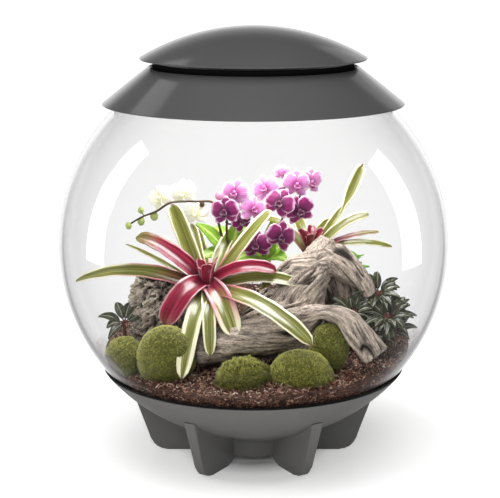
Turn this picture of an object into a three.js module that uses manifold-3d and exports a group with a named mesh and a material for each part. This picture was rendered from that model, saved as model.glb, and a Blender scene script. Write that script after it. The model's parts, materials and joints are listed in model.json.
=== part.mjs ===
// Globe terrarium on a six-finned stand, planted with bromeliads, mini orchids, moss and driftwood.
// Millimetres, +Z up, front towards -Y. The origin is on the floor under the middle of the globe.
import * as THREE from 'three';
import { mergeVertices } from 'three/addons/utils/BufferGeometryUtils.js';
import Module from 'manifold-3d';

const wasm = await Module();
wasm.setup();

// ---- Driving dimensions ----
const GLOBE_RADIUS = 210;
const GLASS_WALL = 5;
const GLOBE_CENTRE = 234;
const MOUTH_RADIUS = 126;
const FIT = 0.4; // room between parts that rest on each other, so that facets stay clear
const TOUCH = 0.3;
const TURNS = 28; // facets round the turned parts
const LOWER_STEPS = 6; // facets from the bottom of the globe up to its widest
const UPPER_STEPS = 4; // and from there to its mouth

const STAND_WALL = 2;
const STAND_RIM_HEIGHT = 97.7;
const HUB_RADIUS = 52;
const HUB_BOTTOM = 7;
const HUB_TOP = 28.1;
const FIN_COUNT = 6;
const FIN_TOP = { out: 134, up: 68 };
const FIN_ELBOW = { out: 114.7, up: 14.6 };
const FOOT = { inner: 60, outer: 96 };
const FIN_TOP_THICKNESS = 13;
const FIN_FOOT_THICKNESS = 10.5;
const SEAL = { height: 2.6, thickness: 1.6 };

const COLLAR = { rimRadius: 161, rimHeight: 386.7, rimWall: 4, crownRadius: 112, crownHeight: 425.5 };
const COLLAR_SHOULDER = { radius: 142, height: 402 }; // the dome's outline bends towards this point
const COLLAR_SEAT = { low: 392.5, high: 402.3 }; // between these heights it rests on the globe
const COLLAR_HOLLOW = { radius: 145, height: 396 }; // the hollow under its rim
const MOUTH_LIP = { radius: 118, bottom: 392, top: 404.5 }; // the part that hangs in the globe's mouth
const NECK = { outer: 106.5, inner: 104, top: 430.2, foot: 421 }; // it stands in a finger groove
const LID = { radius: 120.6, rimBottom: 433.5, rimTop: 435.2, top: 468.3, wall: 3 };
const HOUSING_BOTTOM = 404;
const DIFFUSER = { radius: 96, thickness: 3 };

const SOIL = { front: 114, back: 142, sideTilt: 6, reach: 165, ripple: 1.5 };
const HOLE_DEPTH = 16;
const BLADE = 1.6; // thickness of a leaf at its middle rib
const PETAL = 1.4;
const EDGE_ROOM = 3; // room at a leaf's sharp edge, where its clearance shape tapers away
const PLANT_SEED = 20240;

// ---- Small maths ----
const v3 = (x, y, z) => new THREE.Vector3(x, y, z);
const inner = GLOBE_RADIUS - GLASS_WALL;
const STEM_ACROSS = v3(0.6, 0.8, 0.1);
const UPRIGHT = v3(0, 0, 1);
const FORWARD = v3(0, -0.62, 0.78); // the plants lean towards the front, where they are seen from

function seeded(seed) {
  let state = seed;
  return () => {
    state = (state * 16807) % 2147483647;
    return state / 2147483647;
  };
}

function groundAt(x, y) {
  const slope = (SOIL.back - SOIL.front) / 2;
  const middle = (SOIL.back + SOIL.front) / 2;
  const ripple = SOIL.ripple * Math.sin(x / 17) * Math.cos(y / 21);
  return middle + (slope * y + SOIL.sideTilt * x) / SOIL.reach + ripple;
}

// ---- Solids ----
function solidOf(geometry) {
  const bare = geometry.clone();
  bare.deleteAttribute('normal');
  bare.deleteAttribute('uv');
  const merged = mergeVertices(bare, 1e-3);
  const kept = [];
  const index = merged.index.array;
  for (let i = 0; i < index.length; i += 3) {
    const [a, b, c] = [index[i], index[i + 1], index[i + 2]];
    if (a !== b && b !== c && c !== a) kept.push(a, b, c);
  }
  const vertProperties = new Float32Array(merged.attributes.position.array);
  const triVerts = new Uint32Array(kept);
  return new wasm.Manifold(new wasm.Mesh({ numProp: 3, vertProperties, triVerts }));
}

function geometryOf(solid) {
  const mesh = solid.getMesh();
  const geometry = new THREE.BufferGeometry();
  geometry.setAttribute('position', new THREE.BufferAttribute(mesh.vertProperties, 3));
  geometry.setIndex(new THREE.BufferAttribute(mesh.triVerts, 1));
  geometry.computeVertexNormals();
  return geometry;
}

const joined = (solids) => solids.reduce((whole, next) => whole.add(next));

function mainBody(solid) {
  const bodies = solid.decompose();
  return bodies.reduce((best, next) => (next.volume() > best.volume() ? next : best));
}

function overlapsBox(a, b) {
  const [p, q] = [a.boundingBox(), b.boundingBox()];
  return [0, 1, 2].every((k) => p.min[k] < q.max[k] && q.min[k] < p.max[k]);
}

function clearOf(solid, others) {
  let left = solid;
  for (const other of others) {
    if (overlapsBox(left, other)) left = left.subtract(other);
  }
  return mainBody(left);
}

// A turned solid. The profile runs up the outside, and back down the inside where it is hollow.
function turned(profile) {
  const points = profile.map(([r, z]) => new THREE.Vector2(r, z));
  return solidOf(new THREE.LatheGeometry(points, TURNS).rotateX(Math.PI / 2));
}

// Points on a ball round the globe's centre, from one polar angle to another, measured from straight up.
function ballArc(radius, from, to, steps) {
  return Array.from({ length: steps + 1 }, (_, i) => {
    const angle = from + ((to - from) * i) / steps;
    return [radius * Math.sin(angle), GLOBE_CENTRE + radius * Math.cos(angle)];
  });
}

const mouthAngle = Math.asin(MOUTH_RADIUS / GLOBE_RADIUS);

// The globe's outline at a radius, from its bottom to its mouth, with a ring of facets at its widest.
function globeArc(radius) {
  const lower = ballArc(radius, Math.PI, Math.PI / 2, LOWER_STEPS);
  const upper = ballArc(radius, Math.PI / 2, mouthAngle, UPPER_STEPS);
  lower[0][0] = 0;
  return [...lower, ...upper.slice(1)];
}

// A whole ball whose facets line up with the globe's own.
function ball(radius) {
  const shoulder = [radius * 0.3, GLOBE_CENTRE + radius * 0.95];
  return turned([...globeArc(radius), shoulder, [0, GLOBE_CENTRE + radius]]);
}

const polarAt = (radius, height) => Math.acos((height - GLOBE_CENTRE) / radius);

// A cylinder bent along a curve. `across` is its width direction, and `shape` gives half its width, half
// its thickness and how far its edges lift at each place along it. `longer` is added at both ends.
function bent(curve, sides, steps, across, shape, longer = 0) {
  const geometry = new THREE.CylinderGeometry(1, 1, 1, sides, steps);
  const position = geometry.attributes.position;
  for (let i = 0; i < position.count; i += 1) {
    const [x, y, z] = [position.getX(i), position.getY(i), position.getZ(i)];
    const t = y + 0.5;
    const along = curve.getTangent(t);
    const side = across.clone().addScaledVector(along, -across.dot(along)).normalize();
    const face = side.clone().cross(along);
    const { width, thickness, lift } = shape(t, Math.atan2(x, z));
    const place = curve.getPoint(t);
    if (t < 0.001 || t > 0.999) place.addScaledVector(along, Math.sign(y) * longer);
    place.addScaledVector(side, x * width);
    place.addScaledVector(face, z * thickness + Math.abs(x) * (lift ?? 0));
    position.setXYZ(i, place.x, place.y, place.z);
  }
  return solidOf(geometry);
}

// Outlines of blades, as a share of half the width along the blade.
const strap = (t) => Math.min(1, 0.7 + t) * (1 - 0.68 * t ** 8);
const tapered = (t) => Math.min(1, 0.7 + t) * (1 - 0.94 * t ** 4);
const spoon = (t) => (t < 0.6 ? 0.22 : strap(t)); // rolled thin below, and open towards the tip
const oval = (t) => 0.14 + 0.86 * Math.sin(Math.PI * Math.min(0.96, t) ** 0.85);
const round = (t) => Math.max(0.22, Math.sqrt(Math.max(0, 1 - (2 * t - 1.05) ** 2)));

// A leaf from root to tip that bows up in the middle by `arch` and whose face turns towards `lean`.
function leaf(blade) {
  const { root, tip, arch = 0, half, outline = strap, sides = 4, steps = 4, gutter = 0.25, grow } = blade;
  const { lean = FORWARD } = blade;
  const middle = root.clone().lerp(tip, 0.5);
  const curve = new THREE.QuadraticBezierCurve3(root, middle.add(v3(0, 0, 2 * arch)), tip);
  const across = tip.clone().sub(root).cross(lean).normalize();
  const shape = (t) => {
    const width = half * outline(t) + EDGE_ROOM * grow;
    return { width, thickness: BLADE / 2 + grow, lift: gutter * width };
  };
  return bent(curve, sides, steps, across, shape, grow);
}

const THREE_SIDED = { sides: 3, steps: 2, gutter: 0 };

function stem(points, radius, grow, sides = 4) {
  const curve = new THREE.CatmullRomCurve3(points);
  const steps = Math.min(8, 2 * (points.length - 1));
  const shape = (t) => ({
    width: radius * (1 - 0.35 * t) + grow,
    thickness: radius * (1 - 0.35 * t) + grow,
  });
  return bent(curve, sides, steps, STEM_ACROSS, shape, grow);
}

const upright = (x, y, from, to) => [v3(x, y, from), v3(x, y, to)];

function knob(centre, radii) {
  const geometry = new THREE.IcosahedronGeometry(1);
  geometry.scale(...radii).translate(centre.x, centre.y, centre.z);
  return solidOf(geometry);
}

// ---- The vessel ----
function stand() {
  const outside = GLOBE_RADIUS + FIT + STAND_WALL;
  const low = polarAt(outside, HUB_TOP);
  const rim = polarAt(outside, STAND_RIM_HEIGHT);
  const bowl = turned([
    [0, HUB_BOTTOM],
    [HUB_RADIUS - 1.5, HUB_BOTTOM],
    [HUB_RADIUS, HUB_BOTTOM + 1.5],
    ...ballArc(outside, low, rim, 4),
    [0, STAND_RIM_HEIGHT],
  ]);
  const fins = Array.from({ length: FIN_COUNT }, (_, i) => {
    const azimuth = ((i + 0.5) * 2 * Math.PI) / FIN_COUNT - Math.PI / 2;
    return fin(azimuth);
  });
  return joined([bowl, ...fins]).subtract(ball(GLOBE_RADIUS + FIT));
}

// One fin: its outline stands in the plane through the axis, and it is thinner at the foot.
function fin(azimuth) {
  const outline = new THREE.Shape();
  outline.moveTo(HUB_RADIUS - 12, HUB_BOTTOM + 5);
  outline.lineTo(HUB_RADIUS, HUB_BOTTOM);
  outline.lineTo(FOOT.inner, 0);
  outline.lineTo(FOOT.outer, 0);
  outline.quadraticCurveTo(FOOT.outer + 12, 0, FIN_ELBOW.out, FIN_ELBOW.up);
  outline.lineTo(FIN_TOP.out, FIN_TOP.up);
  outline.lineTo(FIN_TOP.out - 24, FIN_TOP.up + 6);
  const geometry = new THREE.ExtrudeGeometry(outline, { depth: 2, bevelEnabled: false, curveSegments: 3 });
  geometry.translate(0, 0, -1).rotateX(Math.PI / 2);
  const position = geometry.attributes.position;
  for (let i = 0; i < position.count; i += 1) {
    const share = THREE.MathUtils.clamp(position.getZ(i) / FIN_TOP.up, 0, 1);
    const half = THREE.MathUtils.lerp(FIN_FOOT_THICKNESS, FIN_TOP_THICKNESS, share) / 2;
    position.setY(i, position.getY(i) * half);
  }
  return solidOf(geometry.rotateZ(azimuth));
}

function sealRing() {
  const [low, high] = [STAND_RIM_HEIGHT + TOUCH, STAND_RIM_HEIGHT + TOUCH + SEAL.height];
  const glass = GLOBE_RADIUS + FIT;
  const radiusAt = (ballRadius, height) => ballRadius * Math.sin(polarAt(ballRadius, height));
  return turned([
    [radiusAt(glass, low), low],
    [radiusAt(glass + SEAL.thickness, low), low],
    [radiusAt(glass + SEAL.thickness, high), high],
    [radiusAt(glass, high), high],
    [radiusAt(glass, low), low],
  ]);
}

function globe() {
  return turned([...globeArc(GLOBE_RADIUS), ...globeArc(inner).toReversed()]);
}

function collar() {
  const { rimRadius, rimHeight, rimWall, crownRadius, crownHeight } = COLLAR;
  const dome = new THREE.QuadraticBezierCurve(
    new THREE.Vector2(rimRadius, rimHeight),
    new THREE.Vector2(COLLAR_SHOULDER.radius, COLLAR_SHOULDER.height),
    new THREE.Vector2(crownRadius, crownHeight),
  );
  const rest = GLOBE_RADIUS + FIT;
  return turned([
    [rimRadius - rimWall, rimHeight],
    ...dome.getPoints(3).map((p) => [p.x, p.y]),
    [NECK.outer + 1, NECK.foot],
    [NECK.outer, NECK.top],
    [NECK.inner, NECK.top],
    [NECK.inner, MOUTH_LIP.bottom],
    [MOUTH_LIP.radius, MOUTH_LIP.bottom],
    [MOUTH_LIP.radius, MOUTH_LIP.top],
    ...ballArc(rest, polarAt(rest, COLLAR_SEAT.high), polarAt(rest, COLLAR_SEAT.low), 1),
    [COLLAR_HOLLOW.radius, COLLAR_HOLLOW.height],
    [rimRadius - rimWall, rimHeight],
  ]);
}

// Height of the lid's round top over a radius, for its outside and, `drop` lower, its inside.
function lidHeight(radius, drop) {
  const rise = LID.top - LID.rimTop;
  const capRadius = (LID.radius ** 2 + rise ** 2) / (2 * rise);
  return LID.top - capRadius + Math.sqrt((capRadius - drop) ** 2 - radius ** 2);
}

const LID_RINGS = [92, 50, 0];

function lid() {
  return turned([
    ...[...LID_RINGS.toReversed(), LID.radius - 3.6].map((r) => [r, lidHeight(r, LID.wall)]),
    [LID.radius - 3, LID.rimBottom],
    [LID.radius, LID.rimBottom],
    ...[LID.radius, ...LID_RINGS].map((r) => [r, lidHeight(r, 0)]),
  ]);
}

function lightHousing() {
  const flange = NECK.outer - 0.5;
  return turned([
    [0, HOUSING_BOTTOM],
    [NECK.inner - FIT, HOUSING_BOTTOM],
    [NECK.inner - FIT, NECK.top + TOUCH],
    [flange, NECK.top + TOUCH],
    [flange, lidHeight(flange, LID.wall + 2 * FIT)],
    ...LID_RINGS.map((r) => [r, lidHeight(r, LID.wall + FIT)]),
  ]);
}

function lightDiffuser() {
  const top = HOUSING_BOTTOM - TOUCH;
  return turned([
    [0, top - DIFFUSER.thickness],
    [DIFFUSER.radius, top - DIFFUSER.thickness],
    [DIFFUSER.radius, top],
    [0, top],
  ]);
}

// ---- The ground ----
function groundBlock(raise) {
  const geometry = new THREE.BoxGeometry(2 * GLOBE_RADIUS, 2 * GLOBE_RADIUS, 2, 8, 8, 1);
  const position = geometry.attributes.position;
  for (let i = 0; i < position.count; i += 1) {
    const top = groundAt(position.getX(i), position.getY(i)) + raise;
    position.setZ(i, position.getZ(i) > 0 ? top : 0);
  }
  return solidOf(geometry);
}

// ---- Bromeliads ----
const FRONT_CROWN = v3(-50, -40, 192);
const REAR_CROWN = v3(63, 45, 214);

// Each leaf ends at its tip. `arch` is how far its middle rises over the straight line, and `half` is half
// its width.
const FRONT_LEAVES = [
  { tip: v3(-190, -32, 199), arch: 15, half: 10, outline: tapered },
  { tip: v3(-88, -8, 278), arch: 3, half: 9 },
  { tip: v3(-68, 12, 253), arch: 2, half: 6 },
  { tip: v3(19, -20, 274), arch: 4, half: 8 },
  { tip: v3(48, -56, 202), arch: 10, half: 7 },
  { tip: v3(58, -138, 159), arch: 13, half: 10.5 },
  { tip: v3(-72, -134, 123), arch: 16, half: 9 },
  { tip: v3(-44, -116, 141), arch: 14, half: 7 },
  { tip: v3(-64, -92, 152), arch: 7, half: 6 },
  { tip: v3(-140, 12, 230), arch: 4, half: 4 },
  { tip: v3(-112, 62, 226), arch: 9, half: 7 },
  { tip: v3(-66, 82, 232), arch: 10, half: 7.5 },
  { tip: v3(-20, 52, 240), arch: 9, half: 7 },
];
const FRONT_HEART = [
  { tip: v3(-125, -30, 246), arch: 8, half: 10.5 },
  { tip: v3(24, -50, 214), arch: 10, half: 8 },
  { tip: v3(-91, -90, 166), arch: 12, half: 12.5 },
  { tip: v3(-20, -100, 157), arch: 9, half: 12 },
];
const REAR_LEAVES = [
  { tip: v3(123, 60, 312), arch: -10, half: 7.5, outline: spoon },
  { tip: v3(109, 72, 268), arch: 4, half: 3 },
  { tip: v3(102, 56, 264), arch: 2, half: 5 },
  { tip: v3(128, 38, 258), arch: 9, half: 6 },
  { tip: v3(139, 30, 240), arch: 6, half: 3 },
  { tip: v3(153, 22, 225), arch: 8, half: 4 },
  { tip: v3(44, 108, 248), arch: 9, half: 7 },
  { tip: v3(94, 110, 236), arch: 9, half: 7 },
  { tip: v3(14, 84, 244), arch: 9, half: 6 },
  { tip: v3(79, 4, 221), arch: 12, half: 8 },
];
const REAR_HEART = [
  { tip: v3(78, 38, 240), arch: 3, half: 5 },
  { tip: v3(50, 38, 239), arch: 3, half: 5 },
  { tip: v3(66, 60, 241), arch: 3, half: 5 },
];

const ROSETTE_STEM = 6;
const CROWN = { radius: 12, height: 12 };
const HEART_CORE = { radius: 8, rise: 12 };
const ICOSAHEDRON_FLAT = 0.8507; // how far its lowest edge lies from its middle, as a share of its radius

// Outer leaves, growing from a swollen crown on a stem that stands in the soil.
function rosette(crown, leaves, grow) {
  const foot = groundAt(crown.x, crown.y) - HOLE_DEPTH + 1;
  const shank = stem(upright(crown.x, crown.y, foot, crown.z), ROSETTE_STEM, grow, 6);
  const depth = CROWN.height / 2 / ICOSAHEDRON_FLAT;
  const swelling = knob(crown, [CROWN.radius + grow, CROWN.radius + grow, depth + grow]);
  const blades = leaves.map((one) => leaf({ ...one, root: stepOut(crown, one.tip, 9), grow }));
  return joined([shank, swelling, ...blades]);
}

// Inner leaves, round a cup that sits on the crown.
function heart(crown, leaves, grow) {
  const seat = crown.clone().add(v3(0, 0, HEART_CORE.rise));
  const depth = (HEART_CORE.rise - CROWN.height / 2 - TOUCH) / ICOSAHEDRON_FLAT;
  const core = knob(seat, [HEART_CORE.radius + grow, HEART_CORE.radius + grow, depth + grow]);
  const blades = leaves.map((one) => leaf({ ...one, root: stepOut(seat, one.tip, 3), grow }));
  const cup = [0, 1, 2, 3].map((i) => {
    const angle = ((i + 0.5) * Math.PI) / 2;
    const tip = seat.clone().add(v3(11 * Math.cos(angle), 11 * Math.sin(angle), 19));
    const root = stepOut(seat, tip, 5);
    return leaf({ root, tip, half: 6, ...THREE_SIDED, outline: oval, lean: UPRIGHT, grow });
  });
  return joined([core, ...blades, ...cup]);
}

function stepOut(from, towards, distance) {
  const flat = v3(towards.x - from.x, towards.y - from.y, 0).normalize();
  return from.clone().addScaledVector(flat, distance);
}

// ---- Orchids ----
const LEFT_ORCHID = v3(-27, 26, 214);
const RIGHT_ORCHID = v3(14, 32, 208);
const LEFT_ORCHID_LEAVES = [
  { tip: v3(-63, 14, 252), arch: 5, half: 9 },
  { tip: v3(-16, 16, 258), arch: -3, half: 12 },
  { tip: v3(-45, 64, 238), arch: 8, half: 10 },
  { tip: v3(-2, 62, 236), arch: 8, half: 10 },
];
const RIGHT_ORCHID_LEAVES = [
  { tip: v3(20, 14, 256), arch: -3, half: 9 },
  { tip: v3(38, 18, 226), arch: 5, half: 9 },
  { tip: v3(-10, 12, 224), arch: 5, half: 8 },
  { tip: v3(26, 76, 226), arch: 8, half: 9 },
];
const ORCHID_STALK = 4;

function orchidLeaves(crown, leaves, grow) {
  const foot = groundAt(crown.x, crown.y) - HOLE_DEPTH + 1;
  const shank = stem(upright(crown.x, crown.y, foot, crown.z), ORCHID_STALK, grow, 6);
  const blades = leaves.map((one) => {
    const root = stepOut(crown, one.tip, 1);
    return leaf({ ...one, root, outline: oval, grow });
  });
  return joined([shank, knob(crown, [6 + grow, 6 + grow, 5 + grow]), ...blades]);
}

const STEM_LEFT = [v3(-27, 26, 220), v3(-29, 14, 236), v3(-29, 6, 256), v3(-26, 8, 276), v3(-20, 14, 284)];
const STEM_LOW = [v3(11, 29, 214), v3(8, 16, 222), v3(6, 6, 228)];
const STEM_RIGHT = [v3(15, 32, 214), v3(22, 18, 238), v3(33, 16, 262), v3(35, 17, 284), v3(32, 22, 302)];
const STEM_FAR = [v3(34, 17, 262), v3(46, 17, 274), v3(56, 28, 292)];
const STEM_WHITE = [
  v3(-31, 28, 220),
  v3(-40, 22, 258),
  v3(-44, 16, 276),
  v3(-62, 10, 279),
  v3(-88, 0, 280),
  v3(-104, -5, 271),
  v3(-120, -10, 265),
  v3(-134, -15, 257),
];
const PINK_BUD = { place: v3(-37, 5, 285), joins: v3(-26, 8, 276), radius: 4.6 };
const WHITE_BUDS = [
  { place: v3(-56, 11.5, 275.4), radius: 3.2 },
  { place: v3(-121, -10, 272), radius: 3.2 },
  { place: v3(-107, -6, 265), radius: 4.4 },
  { place: v3(-121, -10, 260), radius: 4 },
  { place: v3(-134, -15, 256), radius: 3.4 },
];

// Each bloom: where its middle is, the stem point its stalk joins, and how far it turns from facing the
// front, in degrees.
const PURPLE_BLOOMS = [
  { name: 'bloom_purple_1', middle: v3(28, 0, 278), joins: v3(35, 17, 276), turn: -12 },
  { name: 'bloom_purple_2', middle: v3(50, 3, 269), joins: v3(46, 17, 274), turn: 18 },
  { name: 'bloom_purple_3', middle: v3(30, -5, 242), joins: v3(24, 17, 243), turn: 8 },
  { name: 'bloom_purple_4', middle: v3(3, -4, 232), joins: v3(6, 8, 228), turn: -15 },
  { name: 'bloom_purple_5', middle: v3(-31, -5, 270), joins: v3(-27, 7, 268), turn: -20 },
  { name: 'bloom_purple_6', middle: v3(-13, 2, 257), joins: v3(-29, 7, 254), turn: 20 },
  { name: 'bloom_mauve_1', middle: v3(12, 10, 293), joins: v3(34, 19, 292), turn: -25 },
  { name: 'bloom_mauve_2', middle: v3(47, 14, 296), joins: v3(34, 20, 296), turn: 10 },
  { name: 'bloom_mauve_3', middle: v3(63, 24, 297), joins: v3(55, 27, 291), turn: 35 },
  { name: 'bloom_mauve_4', middle: v3(31, 16, 309), joins: v3(32, 22, 302), turn: 0 },
  { name: 'bloom_mauve_5', middle: v3(-20, 2, 289), joins: v3(-20, 14, 284), turn: -10 },
  { name: 'bloom_mauve_6', middle: v3(0, 2, 271), joins: v3(-26, 8, 272), turn: 12 },
];
const WHITE_BLOOMS = [
  { name: 'bloom_white_1', middle: v3(-76, -8, 290), joins: v3(-76, 5, 280), turn: -8 },
  { name: 'bloom_white_2', middle: v3(-63, -2, 267), joins: v3(-62, 10, 278), turn: 6 },
  { name: 'bloom_white_3', middle: v3(-101, -12, 284), joins: v3(-96, -3, 276), turn: -20 },
];
const PURPLE_SIZE = 29;
const MAUVE_SIZE = 27;
const WHITE_SIZE = 25;
const TOP_BLOOM_SIZE = 16;

function bloom({ middle, joins, turn }, size, grow) {
  const angle = THREE.MathUtils.degToRad(turn);
  const facing = v3(Math.sin(angle), -Math.cos(angle), 0.12).normalize();
  const up = v3(0, 0, 1).addScaledVector(facing, -facing.z).normalize();
  const side = up.clone().cross(facing);
  const petal = (degrees, length, half, behind, outline, sides) => {
    const turnBy = THREE.MathUtils.degToRad(degrees);
    const way = up.clone().multiplyScalar(Math.cos(turnBy)).addScaledVector(side, Math.sin(turnBy));
    const across = way.clone().cross(facing);
    const root = middle.clone().addScaledVector(way, 0.9).addScaledVector(facing, -behind);
    const tip = root.clone().addScaledVector(way, length - 0.9);
    const control = root.clone().addScaledVector(way, length / 2).addScaledVector(facing, -1.5);
    const curve = new THREE.QuadraticBezierCurve3(root, control, tip);
    const shape = (t) => ({ width: half * outline(t) + EDGE_ROOM * grow, thickness: PETAL / 2 + grow });
    return bent(curve, sides, sides - 1, across, shape, grow);
  };
  const widePetals = [-82, 82].map((degrees) => petal(degrees, size * 0.5, size * 0.29, 0.2, round, 4));
  const sepals = [0, -140, 140].map((degrees) => petal(degrees, size * 0.46, size * 0.15, 1.9, oval, 3));
  const lip = petal(180, size * 0.26, size * 0.13, -1.8, round, 3);
  const centre = middle.clone().addScaledVector(facing, -0.5);
  const stalk = bent(new THREE.LineCurve3(centre, joins), 3, 1, STEM_ACROSS, () => ({
    width: 1 + grow,
    thickness: 1 + grow,
  }));
  const core = solidOf(new THREE.OctahedronGeometry(3.8 + grow).translate(middle.x, middle.y, middle.z));
  return joined([core, ...widePetals, ...sepals, lip, stalk]);
}

function buddedStem(grow) {
  const { place: middle, joins, radius } = PINK_BUD;
  const stalk = stem([joins, middle], 0.9, grow, 3);
  const r = radius + grow;
  return joined([stem(STEM_LEFT, 1.4, grow), stalk, knob(middle, [r, r, r * 1.1])]);
}

function whiteSprayStem(grow) {
  const buds = WHITE_BUDS.map(({ place, radius }) => {
    const r = radius + grow;
    return knob(place, [r, r, r * 1.15]);
  });
  return joined([stem(STEM_WHITE, 1.5, grow), ...buds]);
}

// ---- Small-leaved plants ----
const WHORL_UP = v3(0, 0.78, 0.62); // a whorl's disc leans forward with its plant

function whorl(crown, count, reach, half, rise, random, grow) {
  return Array.from({ length: count }, (_, i) => {
    const angle = ((i + 0.6 * random()) * 2 * Math.PI) / count;
    const length = reach * (0.75 + 0.5 * random());
    const lift = rise * (0.4 + 0.9 * random());
    const tip = crown.clone().add(v3(length * Math.cos(angle), 0, 0));
    tip.addScaledVector(WHORL_UP, length * Math.sin(angle)).addScaledVector(FORWARD, lift);
    const root = crown.clone().lerp(tip, 2.6 / length);
    return leaf({ root, tip, arch: 4, half, ...THREE_SIDED, outline: oval, grow });
  });
}

// A stalk in the soil, and a twig from its top to each crown of leaves.
function peperomia(root, crowns, grow) {
  const random = seeded(PLANT_SEED);
  const bottom = groundAt(root.x, root.y) - HOLE_DEPTH + 1;
  const top = v3(root.x, root.y, bottom + HOLE_DEPTH + 6);
  const stalk = stem([v3(root.x, root.y, bottom), top], 3, grow);
  const heads = crowns.flatMap(({ place, count, reach, half, rise }) => [
    bent(new THREE.LineCurve3(top.clone().add(v3(0, 0, -3)), place), 4, 1, STEM_ACROSS, () => ({
      width: 1.6 + grow,
      thickness: 1.6 + grow,
    })),
    knob(place, [3.5 + grow, 3.5 + grow, 3.5 + grow]),
    ...whorl(place, count, reach, half, rise, random, grow),
  ]);
  return joined([stalk, ...heads]);
}

const RIGHT_ROOT = v3(138, -42, 0);
const RIGHT_CROWNS = [
  { place: v3(142, -55, 166), count: 7, reach: 27, half: 5, rise: 8 },
  { place: v3(133, -34, 187), count: 6, reach: 24, half: 4.6, rise: 10 },
  { place: v3(126, -64, 152), count: 5, reach: 21, half: 4.6, rise: 5 },
];
const CAVE_ROOT = v3(105, -52, 0);
const CAVE_CROWNS = [{ place: v3(105, -52, 170), count: 8, reach: 22, half: 4.6, rise: 6 }];
const LEFT_ROOT = v3(-138, -44, 0);
const LEFT_CROWNS = [{ place: v3(-138, -44, 157), count: 6, reach: 24, half: 5.4, rise: 6 }];

const VINE_ROOT = v3(110, 12, 0);
const VINE_TOP = v3(110, 4, 214);
const VINE_LEAVES = [
  { tip: v3(112, -14, 215), from: 203 },
  { tip: v3(122, -12, 205), from: 192 },
  { tip: v3(95, 0, 229), from: 211 },
  { tip: v3(127, 6, 206), from: 198 },
  { tip: v3(103, 16, 222), from: 208 },
  { tip: v3(118, 20, 198), from: 187 },
];

function vine(grow) {
  const foot = groundAt(VINE_ROOT.x, VINE_ROOT.y) - HOLE_DEPTH + 1;
  const spine = stem([v3(VINE_ROOT.x, VINE_ROOT.y, foot), VINE_TOP], 2, grow);
  const twigs = VINE_LEAVES.map(({ tip, from }) => {
    const root = v3(VINE_TOP.x, VINE_TOP.y + 1, from);
    return leaf({ root, tip, arch: 1, half: 6.5, outline: oval, steps: 3, lean: UPRIGHT, grow });
  });
  return joined([spine, ...twigs]);
}

// ---- Wood and moss ----
// Each limb's places along its middle line, with its radius there.
const LIMB_ACROSS = v3(0.35, 0.9, 0.25);
const WOOD_LIMBS = [
  [[-60, -92, 136, 13], [-25, -84, 146, 19], [10, -74, 154, 25], [45, -58, 162, 29]],
  [[42, -50, 118, 31], [45, -44, 172, 31], [62, -24, 208, 23], [80, -12, 241, 9]],
  [[24, -34, 200, 9], [42, -34, 208, 18], [72, -22, 214, 19]],
  [[70, -14, 224, 17], [94, -24, 216, 16], [112, -33, 201, 13], [124, -38, 184, 9]],
  [[88, -8, 212, 14], [100, -6, 190, 15], [108, -10, 164, 14], [112, -14, 138, 13]],
  [[44, -62, 160, 18], [70, -92, 180, 10], [92, -101, 178, 10], [109, -105, 160, 13], [124, -106, 140, 14]],
  [[68, -15, 196, 18], [84, 22, 166, 15], [92, 44, 134, 13]],
  [[24, -30, 180, 17], [2, -12, 158, 14], [-12, 2, 128, 13]],
];

// A weathered limb: its section is fluted, and the flutes wind round as they run along it.
function limb(points, phase, grow) {
  const curve = new THREE.CatmullRomCurve3(points.map(([x, y, z]) => v3(x, y, z)));
  const radii = points.map((point) => point[3]);
  const radiusAt = (t) => {
    const place = t * (radii.length - 1);
    const before = Math.min(Math.floor(place), radii.length - 2);
    return THREE.MathUtils.lerp(radii[before], radii[before + 1], place - before);
  };
  const shape = (t, angle) => {
    const flutes = 0.13 * Math.sin(3 * angle + 4 * t + phase);
    const cracks = 0.08 * Math.sin(5 * angle - 7 * t + 2 * phase);
    const radius = radiusAt(t) * (1 + flutes + cracks) + grow;
    return { width: radius, thickness: radius };
  };
  return bent(curve, 7, points.length + 1, LIMB_ACROSS, shape, grow);
}

const STUMP = [[-98, -14, 112, 30], [-101, -18, 150, 31], [-104, -20, 184, 27], [-103, -22, 203, 17]];

const MOSSES = [
  { name: 'moss_cushion_1', middle: v3(-134, -84, 128), radii: [20, 20, 24], detail: 2 },
  { name: 'moss_cushion_2', middle: v3(-89, -101, 136), radii: [31, 25, 33], detail: 2 },
  { name: 'moss_cushion_3', middle: v3(-10, -126, 121), radii: [27, 20, 20], detail: 2 },
  { name: 'moss_cushion_4', middle: v3(48, -122, 122), radii: [33, 25, 27], detail: 2 },
  { name: 'moss_cushion_5', middle: v3(78, -97, 144), radii: [20, 15, 27], detail: 2 },
];

function mossCushion({ middle, radii, detail }, grow) {
  const geometry = mergeVertices(new THREE.IcosahedronGeometry(1, detail), 1e-3);
  const position = geometry.attributes.position;
  for (let i = 0; i < position.count; i += 1) {
    const [x, y, z] = [position.getX(i), position.getY(i), position.getZ(i)];
    const tufts = Math.sin(9 * x + middle.x) * Math.cos(8 * y) + Math.sin(10 * z + 5 * x);
    const swell = 1 + 0.035 * tufts;
    const reach = radii.map((radius) => radius * swell + grow);
    position.setXYZ(i, x * reach[0], y * reach[1], z * reach[2]);
  }
  return solidOf(geometry.translate(middle.x, middle.y, middle.z));
}

// ---- Assembly ----
const group = new THREE.Group();

function place(name, solid, color, roughness, metalness = 0) {
  const material = new THREE.MeshStandardMaterial({ color, roughness, metalness });
  const snapped = mainBody(solidOf(geometryOf(solid)));
  const mesh = new THREE.Mesh(geometryOf(snapped), material);
  mesh.name = name;
  group.add(mesh);
}

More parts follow.
